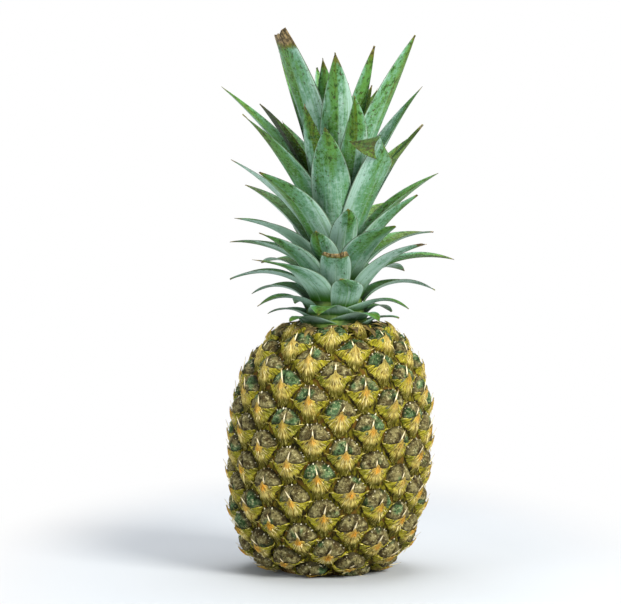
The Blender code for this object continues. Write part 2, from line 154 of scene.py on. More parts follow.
class Nodes:
    """Lays the shader nodes of one material."""

    def __init__(self, name: str) -> None:
        """Starts a material with an empty principled surface.

        Args:
            name: The material's name.
        """
        self.material = bpy.data.materials.new(name)
        self.material.use_nodes = True
        self.tree = self.material.node_tree
        self.surface = self.tree.nodes["Principled BSDF"]

    def link(self, source: bpy.types.NodeSocket, target: bpy.types.NodeSocket) -> None:
        """Joins an output to an input."""
        self.tree.links.new(source, target)

    def feed(self, target: bpy.types.NodeSocket, value: object) -> None:
        """Joins or sets an input, whichever the value is.

        Args:
            target: The input.
            value: A socket, a number, or a tuple.
        """
        if isinstance(value, bpy.types.NodeSocket):
            self.link(value, target)
        else:
            target.default_value = value

    def attribute(self, name: str) -> bpy.types.NodeSocket:
        """The piece's own number of this name."""
        node = self.tree.nodes.new("ShaderNodeAttribute")
        node.attribute_name = name
        return node.outputs["Fac"]

    def height(self) -> bpy.types.NodeSocket:
        """Height over the ground, in metres."""
        parts = self.tree.nodes.new("ShaderNodeSeparateXYZ")
        self.link(self.place(), parts.inputs[0])
        return parts.outputs["Z"]

    def place(self) -> bpy.types.NodeSocket:
        """Place on the object, in metres."""
        return self.tree.nodes.new("ShaderNodeTexCoord").outputs["Object"]

    def combine(self, x: object, y: object, z: object = 0.0) -> bpy.types.NodeSocket:
        """Three numbers as one place.

        Args:
            x: First number or socket.
            y: Second number or socket.
            z: Third number or socket.

        Returns:
            The place.
        """
        node = self.tree.nodes.new("ShaderNodeCombineXYZ")
        for target, value in zip(node.inputs, (x, y, z)):
            self.feed(target, value)
        return node.outputs[0]

    def math(self, operation: str, first: object, second: object = 0.0) -> bpy.types.NodeSocket:
        """One sum.

        Args:
            operation: The node's operation, such as MULTIPLY.
            first: First number or socket.
            second: Second number or socket.

        Returns:
            The result.
        """
        node = self.tree.nodes.new("ShaderNodeMath")
        node.operation = operation
        self.feed(node.inputs[0], first)
        self.feed(node.inputs[1], second)
        return node.outputs[0]

    def plus(self, first: object, second: object) -> bpy.types.NodeSocket:
        """The sum of two numbers or sockets."""
        return self.math("ADD", first, second)

    def times(self, first: object, second: object) -> bpy.types.NodeSocket:
        """The product of two numbers or sockets."""
        return self.math("MULTIPLY", first, second)

    def centred(self, value: bpy.types.NodeSocket) -> bpy.types.NodeSocket:
        """A number about 0.5, moved to be about 0."""
        return self.math("SUBTRACT", value, 0.5)

    def noise(
        self,
        place: bpy.types.NodeSocket,
        scale: float,
        detail: float = 3.0,
        rough: float = 0.55,
        stretch: tuple[float, float, float] = (1.0, 1.0, 1.0),
    ) -> bpy.types.NodeSocket:
        """Soft random shades.

        Args:
            place: Where they are read.
            scale: Number of blots for each unit.
            detail: How many finer layers there are.
            rough: Weight of the finer layers.
            stretch: Scale along each axis.

        Returns:
            A number about 0.5.
        """
        mapping = self.tree.nodes.new("ShaderNodeMapping")
        mapping.inputs["Scale"].default_value = stretch
        self.link(place, mapping.inputs["Vector"])
        node = self.tree.nodes.new("ShaderNodeTexNoise")
        node.inputs["Scale"].default_value = scale
        node.inputs["Detail"].default_value = detail
        node.inputs["Roughness"].default_value = rough
        self.link(mapping.outputs[0], node.inputs["Vector"])
        return node.outputs["Fac"]

    def ramp(self, value: object, low: float, high: float) -> bpy.types.NodeSocket:
        """A number spread from 0 at low to 1 at high.

        Args:
            value: The number or socket.
            low: Where the spread starts.
            high: Where it ends.

        Returns:
            The spread number.
        """
        node = self.tree.nodes.new("ShaderNodeMapRange")
        node.interpolation_type = "SMOOTHSTEP"
        self.feed(node.inputs["Value"], value)
        node.inputs["From Min"].default_value = low
        node.inputs["From Max"].default_value = high
        return node.outputs["Result"]

    def mix(self, share: object, first: object, second: object) -> bpy.types.NodeSocket:
        """A blend of two colours.

        Args:
            share: How much of the second there is.
            first: First colour or socket.
            second: Second colour or socket.

        Returns:
            The blend.
        """
        node = self.tree.nodes.new("ShaderNodeMix")
        node.data_type = "RGBA"
        self.feed(node.inputs["Factor"], share)
        self.feed(node.inputs[6], first)
        self.feed(node.inputs[7], second)
        return node.outputs[2]

    def tint(
        self, colour: object, other: object, value: object, low: float, high: float, most: float = 1.0
    ) -> bpy.types.NodeSocket:
        """Blends another colour in, by how far a number is from low to high.

        Args:
            colour: Colour or socket at low.
            other: Colour or socket at high.
            value: The number or socket.
            low: Where the blend starts.
            high: Where it ends.
            most: Share of the other colour where it ends.

        Returns:
            The blend.
        """
        share = self.ramp(value, low, high)
        if most < 1.0:
            share = self.times(share, most)
        return self.mix(share, colour, other)

    def bump(self, height: bpy.types.NodeSocket, depth: float) -> None:
        """Roughens the surface.

        Args:
            height: Height as a share of the depth.
            depth: Depth in metres.
        """
        node = self.tree.nodes.new("ShaderNodeBump")
        node.inputs["Distance"].default_value = depth
        self.link(height, node.inputs["Height"])
        self.link(node.outputs[0], self.surface.inputs["Normal"])

    def finish(self, colour: object, roughness: object, specular: float = 0.4) -> bpy.types.Material:
        """Sets the surface.

        Args:
            colour: Base colour or socket.
            roughness: Roughness or socket.
            specular: Strength of the gloss.

        Returns:
            The material.
        """
        self.feed(self.surface.inputs["Base Color"], colour)
        self.feed(self.surface.inputs["Roughness"], roughness)
        self.surface.inputs["Specular IOR Level"].default_value = specular
        return self.material


@dataclass(frozen=True)
class GrooveFinish:
    """The rind between the fruitlets."""

    olive: Colour = shade(104, 98, 20)
    dark: Colour = shade(26, 22, 4)
    brown: Colour = shade(92, 66, 22)
    dry: Colour = shade(146, 118, 70)
    dry_dark: Colour = shade(76, 56, 26)
    dry_height: float = 0.005
    fibre_scale: float = 520.0
    blot_scale: float = 190.0
    depth: float = 0.0009

    def material(self) -> bpy.types.Material:
        """Olive with dark and brown blots, and dry brown on the base."""
        nodes = Nodes("Rind groove")
        place = nodes.place()
        fibres = nodes.noise(place, self.fibre_scale, 4.0, 0.7, (1.0, 1.0, 0.4))
        colour = nodes.tint(self.dark, self.olive, fibres, 0.40, 0.62)
        colour = nodes.tint(colour, self.brown, nodes.noise(place, self.blot_scale), 0.50, 0.66)
        base = nodes.tint(self.dry_dark, self.dry, fibres, 0.40, 0.62)
        colour = nodes.tint(colour, base, nodes.height(), self.dry_height, 0.0)
        nodes.bump(fibres, self.depth)
        return nodes.finish(colour, 0.8, 0.1)


@dataclass(frozen=True)
class CapFinish:
    """The flat top of a fruitlet and the flank of its cell."""

    flank: Colour = shade(122, 104, 14)
    flank_dark: Colour = shade(26, 22, 4)
    grey: Colour = shade(126, 118, 74)
    brown: Colour = shade(66, 54, 20)
    teal: Colour = shade(88, 118, 76)
    green: Colour = shade(30, 58, 16)
    frost: Colour = shade(200, 192, 146)
    # slit: the dark of the painted shade in the slits, round each cap, in the grooves and under the
    # bracts' edges; it also colours the dark specks
    slit: Colour = shade(26, 18, 4)
    patch_scale: float = 85.0
    blot_scale: float = 210.0
    speck_scale: float = 560.0
    flank_scale: float = 620.0
    bump_scale: float = 900.0
    depth: float = 0.0006

    def material(self) -> bpy.types.Material:
        """Grey and brown low on the fruit, teal and green higher up, with pale and dark specks, and
        painted shade in the slits, round each cap, in the grooves and under the bracts' edges.
        """
        nodes = Nodes("Fruitlet cap")
        place = nodes.place()
        seed = nodes.attribute("seed")
        polar = nodes.combine(nodes.attribute("polar"), nodes.attribute("spread"), seed)
        wrinkles = nodes.noise(polar, 5.0, 4.0, 0.6, (2.6, 0.8, 1.0))
        specks = nodes.noise(place, self.speck_scale, 4.0, 0.7)
        specks = nodes.plus(specks, nodes.times(wrinkles, 0.45))
        blots = nodes.noise(place, self.blot_scale, 4.0, 0.6)
        warm = nodes.tint(self.brown, self.grey, blots, 0.36, 0.60)
        cool = nodes.tint(self.green, self.teal, blots, 0.40, 0.62)
        patch = nodes.times(nodes.centred(nodes.noise(place, self.patch_scale, 1.0)), 1.9)
        cap = nodes.tint(warm, cool, nodes.plus(nodes.attribute("teal"), patch), 0.36, 0.58)
        cap = nodes.tint(cap, self.frost, specks, 0.78, 0.92, 0.8)
        cap = nodes.tint(cap, self.slit, specks, 0.70, 0.58, 0.9)
        rough = nodes.plus(blots, nodes.times(nodes.noise(place, self.flank_scale), 0.8))
        flank = nodes.tint(self.flank_dark, self.flank, rough, 0.84, 1.08)
        colour = nodes.mix(nodes.attribute("cap"), flank, cap)
        # painted shade: the 'slit' share darkens the slit beside each spine, a shadow ring round each
        # cap, a line in each groove and a contact shadow under each bract's edge
        colour = nodes.mix(nodes.attribute("slit"), colour, self.slit)
        nodes.bump(nodes.plus(wrinkles, nodes.noise(place, self.bump_scale)), self.depth)
        return nodes.finish(colour, 0.6, 0.16)


@dataclass(frozen=True)
class BractFinish:
    """The fibrous leaf under each cap."""

    wing: Colour = shade(174, 164, 40)
    lime: Colour = shade(98, 106, 14)
    tan: Colour = shade(162, 138, 56)
    cream: Colour = shade(228, 212, 128)
    orange: Colour = shade(246, 158, 16)
    foot: Colour = shade(86, 82, 16)
    brown: Colour = shade(58, 42, 8)
    blot_scale: float = 120.0
    depth: float = 0.0009

    def material(self) -> bpy.types.Material:
        """Yellow-green wings, a cream fan of fibres and an orange spot under the spine."""
        nodes = Nodes("Bract")
        seed = nodes.attribute("seed")
        fan = nodes.combine(nodes.attribute("fan"), nodes.attribute("reach"), seed)
        streaks = nodes.noise(fan, 8.0, 4.0, 0.62, (1.5, 0.30, 1.0))
        fine = nodes.noise(fan, 22.0, 3.0, 0.6, (1.5, 0.14, 1.0))
        blots = nodes.noise(nodes.place(), self.blot_scale)
        tone = nodes.noise(nodes.combine(seed, 0.0), 0.9)
        mixed = nodes.plus(nodes.times(streaks, 0.6), nodes.times(blots, 0.5))
        wing = nodes.tint(self.lime, self.wing, mixed, 0.44, 0.64)
        middle = nodes.tint(self.tan, self.cream, streaks, 0.42, 0.60)
        uneven = nodes.times(nodes.centred(streaks), 2.0)
        uneven = nodes.plus(uneven, nodes.times(nodes.centred(tone), 1.4))
        edge = nodes.plus(nodes.attribute("side"), uneven)
        colour = nodes.tint(middle, wing, edge, 0.14, 0.72)
        low = nodes.plus(nodes.attribute("low"), nodes.centred(streaks))
        colour = nodes.tint(colour, self.foot, low, 0.35, 1.05)
        colour = nodes.tint(colour, self.cream, fine, 0.54, 0.66, 0.6)
        glow = nodes.times(nodes.attribute("orange"), nodes.ramp(fine, 0.40, 0.56))
        colour = nodes.mix(glow, colour, self.orange)
        colour = nodes.tint(colour, self.brown, fine, 0.46, 0.34)
        colour = nodes.tint(colour, self.brown, streaks, 0.46, 0.34, 0.85)
        nodes.bump(nodes.plus(streaks, fine), self.depth)
        return nodes.finish(colour, 0.7, 0.12)


@dataclass(frozen=True)
class SpineFinish:
    """The thin dry point of a bract."""

    cream: Colour = shade(240, 226, 184)
    tan: Colour = shade(226, 196, 124)
    tip: Colour = shade(150, 118, 70)

    def material(self) -> bpy.types.Material:
        """Cream with a tan foot and a brown tip."""
        nodes = Nodes("Bract spine")
        along = nodes.attribute("along")
        colour = nodes.tint(self.tan, self.cream, along, 0.0, 0.45)
        colour = nodes.tint(colour, self.tip, along, 0.80, 1.0)
        return nodes.finish(colour, 0.7, 0.15)


@dataclass(frozen=True)
class PlainFinish:
    """Two blended shades of a small dry or wet surface."""

    name: str
    first: Colour
    second: Colour
    scale: float = 300.0
    roughness: float = 0.6
    depth: float = 0.0003

    def material(self) -> bpy.types.Material:
        """The two shades in soft blots."""
        nodes = Nodes(self.name)
        place = nodes.place()
        colour = nodes.tint(self.first, self.second, nodes.noise(place, self.scale), 0.35, 0.65)
        nodes.bump(nodes.noise(place, 3.0 * self.scale), self.depth)
        return nodes.finish(colour, self.roughness)


@dataclass(frozen=True)
class LeafFinish:
    """A crown leaf: green under a whitish bloom, with parallel veins and a dry tip."""

    bloom: Colour = shade(150, 182, 168)
    blue_green: Colour = shade(98, 144, 114)
    green: Colour = shade(80, 128, 60)
    speckle: Colour = shade(34, 70, 22)
    rubbed: Colour = shade(78, 104, 26)
    # deep: painted shade, the dark green where the worn-bloom number runs past 1.05; mostly leaf 47,
    # set in shade, and also the most worn tips
    deep: Colour = shade(30, 46, 24)
    olive: Colour = shade(94, 98, 30)
    brown: Colour = shade(156, 134, 92)
    dark_brown: Colour = shade(52, 44, 24)
    # foot: painted shade, the dark green of the shadows between the leaves at the crown's foot
    foot: Colour = shade(44, 84, 16)
    edge: Colour = shade(180, 204, 180)
    margin: Colour = shade(58, 66, 34)
    vein_scale: float = 900.0
    streak_scale: float = 190.0
    mottle_scale: float = 80.0
    grain_scale: float = 460.0
    spot_scale: float = 620.0
    scurf_scale: float = 800.0
    depth: float = 0.0003

    def material(self) -> bpy.types.Material:
        """Bloom over green, worn off in streaks, with a brown tip; painted shade in yellow-green at the
        foot and in deep green on leaves set in shade, and a painted highlight along the keel and, in
        part, the rims.
        """
        nodes = Nodes("Leaf")
        across = nodes.attribute("across")
        along = nodes.attribute("along")
        seed = nodes.attribute("seed")
        sheet = nodes.combine(nodes.attribute("width"), nodes.attribute("length"), seed)
        veins = nodes.noise(sheet, self.vein_scale, 3.0, 0.6, (1.0, 0.02, 40.0))
        streaks = nodes.noise(sheet, self.streak_scale, 3.0, 0.6, (1.0, 0.07, 9.0))
        mottle = nodes.noise(sheet, self.mottle_scale, 5.0, 0.62, (1.0, 0.45, 9.0))
        grain = nodes.noise(sheet, self.grain_scale, 4.0, 0.75, (1.0, 0.6, 9.0))
        wear_and_shade = nodes.times(nodes.centred(mottle), nodes.plus(0.85, nodes.times(along, 0.75)))
        wear_and_shade = nodes.plus(wear_and_shade, nodes.centred(streaks))
        rough = nodes.plus(0.45, nodes.times(along, 0.7))
        wear_and_shade = nodes.plus(wear_and_shade, nodes.times(nodes.centred(grain), rough))
        half = nodes.centred(nodes.ramp(across, -0.03, 0.03))
        wear_and_shade = nodes.plus(wear_and_shade, nodes.times(nodes.attribute("half"), half))
        middle = nodes.times(nodes.times(across, across), -0.45)
        # the rub number is rubbed bloom, and on leaf 47 it is painted shade
        wear_and_shade = nodes.plus(wear_and_shade, nodes.plus(nodes.attribute("rub_and_shade"), middle))
        colour = nodes.tint(self.bloom, self.blue_green, wear_and_shade, -0.20, 0.14)
        colour = nodes.tint(colour, self.green, wear_and_shade, 0.08, 0.42)
        colour = nodes.tint(colour, self.rubbed, wear_and_shade, 0.44, 0.74)
        # painted shade: the deepest green
        colour = nodes.tint(colour, self.deep, wear_and_shade, 1.05, 1.35)
        colour = nodes.tint(colour, self.green, veins, 0.50, 0.64, 0.45)
        worn = nodes.plus(nodes.times(nodes.ramp(wear_and_shade, -0.1, 0.5), 0.75), 0.2)
        worn = nodes.times(worn, nodes.ramp(along, 0.15, 0.80))
        dark = nodes.ramp(nodes.plus(grain, nodes.times(mottle, 0.25)), 0.64, 0.76)
        colour = nodes.mix(nodes.times(dark, worn), colour, self.speckle)
        scurf = nodes.noise(sheet, self.scurf_scale, 2.0, 0.6, (0.5, 1.0, 9.0))
        scurf = nodes.times(nodes.ramp(scurf, 0.54, 0.66), nodes.ramp(along, 0.95, 0.15))
        colour = nodes.mix(nodes.times(scurf, 0.5), colour, self.bloom)
        # painted shade: darker green towards each leaf's foot, where the leaves shade one another
        foot = nodes.plus(along, nodes.times(streaks, 0.12))
        colour = nodes.tint(colour, self.foot, foot, 0.32, 0.08)
        colour = self.rimmed(nodes, colour, wear_and_shade)
        spots = nodes.noise(sheet, self.spot_scale, 3.0, 0.7, (1.0, 0.7, 9.0))
        colour = self.dried(nodes, colour, mottle, veins, spots)
        nodes.bump(nodes.plus(veins, streaks), self.depth)
        return nodes.finish(colour, nodes.plus(0.38, nodes.times(mottle, 0.2)), 0.2)

    def rimmed(
        self, nodes: Nodes, colour: bpy.types.NodeSocket, wear_and_shade: bpy.types.NodeSocket
    ) -> bpy.types.NodeSocket:
        """Pale rims, partly bloom on the edges and partly a painted highlight, and a pale keel, a
        painted highlight, with a thin dark margin, partly the serrated edge and partly painted shadow.

        Args:
            nodes: The material's nodes.
            colour: The colour under them.
            wear_and_shade: How much of the bloom is worn off, and on leaves set in shade, painted
                shade.

        Returns:
            The colour.
        """
        along = nodes.attribute("along")
        side = nodes.math("ABSOLUTE", nodes.attribute("across"))
        # pale rims: whitish bloom on the edges, partly a painted highlight
        rim = nodes.times(nodes.ramp(side, 0.88, 0.94), nodes.ramp(wear_and_shade, 0.75, 0.25))
        colour = nodes.mix(nodes.times(rim, 0.22), colour, self.edge)
        # painted highlight: a pale line along the keel
        keel = nodes.times(nodes.ramp(side, 0.07, 0.0), nodes.ramp(along, 0.9, 0.5))
        colour = nodes.mix(nodes.times(keel, 0.14), colour, self.edge)
        # thin dark margin: the serrated edge, partly painted shadow along the edges
        border = nodes.times(nodes.ramp(side, 0.945, 0.98), nodes.ramp(along, 0.10, 0.5))
        return nodes.mix(nodes.times(border, 0.85), colour, self.margin)

    def dried(
        self,
        nodes: Nodes,
        colour: bpy.types.NodeSocket,
        mottle: bpy.types.NodeSocket,
        veins: bpy.types.NodeSocket,
        spots: bpy.types.NodeSocket,
    ) -> bpy.types.NodeSocket:
        """Olive and straw where the leaf has dried, and small brown spots.

        Args:
            nodes: The material's nodes.
            colour: The fresh colour.
            mottle: Broad noise.
            veins: Noise of the parallel veins.
            spots: Noise of the spots.

        Returns:
            The colour.
        """
        dry = nodes.plus(nodes.times(nodes.centred(mottle), 1.3), nodes.attribute("dry"))
        colour = nodes.tint(colour, self.olive, dry, 0.28, 0.50)
        straw = nodes.tint(self.dark_brown, self.brown, veins, 0.36, 0.54)
        colour = nodes.tint(colour, straw, dry, 0.46, 0.72)
        spots = nodes.plus(spots, nodes.times(nodes.attribute("rub_and_shade"), 0.08))
        spots = nodes.plus(spots, nodes.times(dry, 0.15))
        return nodes.tint(colour, self.dark_brown, spots, 0.60, 0.72, 0.8)


@dataclass(frozen=True)
class FloorFinish:
    """A pale floor that fades into a white surround."""

    pale: Colour = shade(178, 182, 187)
    depth_share: float = 0.45
    fade_from: float = 0.12
    fade_to: float = 0.24

    def material(self) -> bpy.types.Material:
        """Pale near the object and white further off."""
        nodes = Nodes("Floor")
        tree = nodes.tree
        length = tree.nodes.new("ShaderNodeVectorMath")
        length.operation = "LENGTH"
        squeeze = tree.nodes.new("ShaderNodeVectorMath")
        squeeze.operation = "MULTIPLY"
        squeeze.inputs[1].default_value = (1.0, self.depth_share, 1.0)
        nodes.link(nodes.place(), squeeze.inputs[0])
        nodes.link(squeeze.outputs[0], length.inputs[0])
        share = nodes.ramp(length.outputs["Value"], self.fade_from, self.fade_to)
        glow = tree.nodes.new("ShaderNodeEmission")
        blend = tree.nodes.new("ShaderNodeMixShader")
        nodes.link(share, blend.inputs[0])
        nodes.link(nodes.surface.outputs[0], blend.inputs[1])
        nodes.link(glow.outputs[0], blend.inputs[2])
        nodes.link(blend.outputs[0], tree.nodes["Material Output"].inputs["Surface"])
        return nodes.finish(self.pale, 0.6, 0.2)


@dataclass
class Shape:
    """A small closed or open mesh that pieces are made from by moving its vertices."""

    mesh: bpy.types.Mesh
    closed: bool

    @classmethod
    def grid(cls, columns: int, rows: int) -> "Shape":
        """A flat grid from -1 to 1 both ways."""
        bm = bmesh.new()
        bmesh.ops.create_grid(bm, x_segments=columns, y_segments=rows, size=1.0)
        return cls(mesh_of(bm, "Shape"), False)

    @classmethod
    def ball(cls) -> "Shape":
        """A coarse ball of radius 1."""
        bm = bmesh.new()
        bmesh.ops.create_icosphere(bm, subdivisions=1, radius=1.0)
        return cls(mesh_of(bm, "Shape"), True)

    @classmethod
    def tube(cls, sides: int, rings: int) -> "Shape":
        """A closed tube of radius 1, from height -1 to 1, cut into rings."""
        bm = bmesh.new()
        bmesh.ops.create_cone(
            bm, cap_ends=True, segments=sides, radius1=1.0, radius2=1.0, depth=2.0
        )
        upright = [e for e in bm.edges if abs(e.verts[0].co.z - e.verts[1].co.z) > 1.0]
        bmesh.ops.subdivide_edges(bm, edges=upright, cuts=rings - 1, use_grid_fill=True)
        return cls(mesh_of(bm, "Shape"), True)

    def points(self) -> np.ndarray:
        """Its vertices, one row each."""
        flat = np.empty(3 * len(self.mesh.vertices))
        self.mesh.vertices.foreach_get("co", flat)
        return flat.reshape(-1, 3)

    def along(self) -> np.ndarray:
        """How far up each vertex of a tube is, from 0 at its foot to 1."""
        return 0.5 * (self.points()[:, 2] + 1.0)

    def copies(
        self,
        name: str,
        places: list[np.ndarray],
        numbers: list[dict[str, np.ndarray]] | None = None,
    ) -> bpy.types.Mesh:
        """One mesh of several copies, each with its vertices moved.

        Args:
            name: Name of the mesh.
            places: The vertices of each copy, in this shape's order.
            numbers: For each copy, the numbers of its vertices that materials read.

        Returns:
            The mesh. If the shape is closed, its faces look outwards.
        """
        bm = bmesh.new()
        for _ in places:
            bm.from_mesh(self.mesh)
        mesh = mesh_of(bm, name)
        mesh.vertices.foreach_set("co", np.concatenate(places).ravel())
        mesh.update()
        for key in numbers[0] if numbers else ():
            layer = mesh.attributes.new(key, "FLOAT", "POINT")
            layer.data.foreach_set("value", np.concatenate([one[key] for one in numbers]))
        if self.closed:
            turn_outwards(mesh)
        return mesh


def turn_outwards(mesh: bpy.types.Mesh) -> None:
    """Makes the faces of closed shapes look outwards."""
    bm = bmesh.new()
    bm.from_mesh(mesh)
    bmesh.ops.recalc_face_normals(bm, faces=bm.faces)
    bm.to_mesh(mesh)
    bm.free()


def add_piece(
    name: str, mesh: bpy.types.Mesh, finish: bpy.types.Material, node: str
) -> bpy.types.Object:
    """Puts a piece on the fruit and hides the solid that it stands for.

    Args:
        name: The piece's name.
        mesh: Its mesh, in place.
        finish: Its material.
        node: The solid that it replaces.

    Returns:
        The piece.
    """
    mesh.materials.append(finish)
    mesh.shade_smooth()
    mesh.set_sharp_from_angle(angle=SHARP_ANGLE)
    piece = new_object(name, mesh)
    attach(piece, "root")
    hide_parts(node)
    LOG.info("%s: %d faces", name, len(mesh.polygons))
    return piece


@dataclass
class FruitSkin:
    """The fruit's envelope over the tips of its fruitlets."""

    outline: tuple[tuple[float, float], ...] = (
        (0.0000, 0.0300),
        (0.0040, 0.0385),
        (0.0110, 0.0470),
        (0.0220, 0.0530),
        (0.0400, 0.0580),
        (0.0700, 0.0603),
        (0.0950, 0.0595),
        (0.1150, 0.0557),
        (0.1300, 0.0487),
        (0.1400, 0.0405),
        (0.1465, 0.0325),
        (0.1490, 0.0240),
    )
    samples: int = 400
    relief: float = 0.0034
    lean: float = 0.047

    def __post_init__(self) -> None:
        """Works out the outline's length, area and direction."""
        knots = np.array(self.outline)
        padded = np.vstack([2 * knots[0] - knots[1], knots, 2 * knots[-1] - knots[-2]])
        place = np.linspace(0.0, len(knots) - 1.0, self.samples + 1)
        part = np.minimum(place.astype(int), len(knots) - 2)
        t = (place - part)[:, None]
        a, b, c, d = (padded[part + shift] for shift in range(4))
        bend = 2 * a - 5 * b + 4 * c - d
        turn = 3 * b - a - 3 * c + d
        curve = 0.5 * (2 * b + (c - a) * t + bend * t**2 + turn * t**3)
        self.height, self.radius = curve[:, 0], curve[:, 1]
        step = np.hypot(np.diff(self.height), np.diff(self.radius))
        self.arc = np.concatenate([[0.0], np.cumsum(step)])
        band = 0.5 * (self.radius[1:] + self.radius[:-1]) * 2 * math.pi * step
        self.area = np.concatenate([[0.0], np.cumsum(band)])
        self.normal_z = -np.gradient(self.radius, self.arc)
        self.normal_r = np.gradient(self.height, self.arc)

    def radius_at(self, arc: np.ndarray | float) -> np.ndarray:
        """Radius of the envelope at this distance along its outline."""
        return np.interp(arc, self.arc, self.radius)

    def upward(self, arc: np.ndarray | float) -> np.ndarray:
        """How much the envelope faces up at this distance along its outline."""
        return np.interp(arc, self.arc, self.normal_z)

    def points(self, arc: np.ndarray, azimuth: np.ndarray, rise: np.ndarray) -> np.ndarray:
        """Places on the leaning fruit.

        Args:
            arc: Distance along the outline from the base.
            azimuth: Angle round the axis from the front towards the right.
            rise: Height over the core's skin.

        Returns:
            One row of x, y and z for each place, none of them under the ground.
        """
        r = np.interp(arc, self.arc, self.normal_r)
        z = np.interp(arc, self.arc, self.normal_z)
        size = np.hypot(r, z)
        lift = rise - self.relief
        radius = self.radius_at(arc) + r / size * lift
        height = np.interp(arc, self.arc, self.height) + z / size * lift
        height = np.maximum(height, 0.0)
        x = radius * np.sin(azimuth) + self.lean * height
        return np.column_stack([x, -radius * np.cos(azimuth), height])


@dataclass
class Fruitlet:
    """One eye of the rind, with what is its own."""

    arc: float
    azimuth: float
    offsets: np.ndarray
    seed: float
    skew: float
    length: float
    teal: float
    orange: float

    def reach(self, angle: np.ndarray, free: float, groove: float, power: float) -> np.ndarray:
        """Distance from the middle to the edge of its cell, a rounded polygon.

        Args:
            angle: Directions, from the right towards the top.
            free: Reach where it has no neighbour.
            groove: Width of the groove between two cells.
            power: Sharpness of the corners.

        Returns:
            One distance for each direction.
        """
        ways = np.column_stack([np.cos(angle), np.sin(angle)])
        distance = np.hypot(self.offsets[:, 0], self.offsets[:, 1])
        units = self.offsets / distance[:, None]
        ahead = np.maximum(ways @ units.T, 0.0) / (0.5 * (distance - groove))
        return (free**-power + (ahead**power).sum(axis=1)) ** (-1.0 / power)


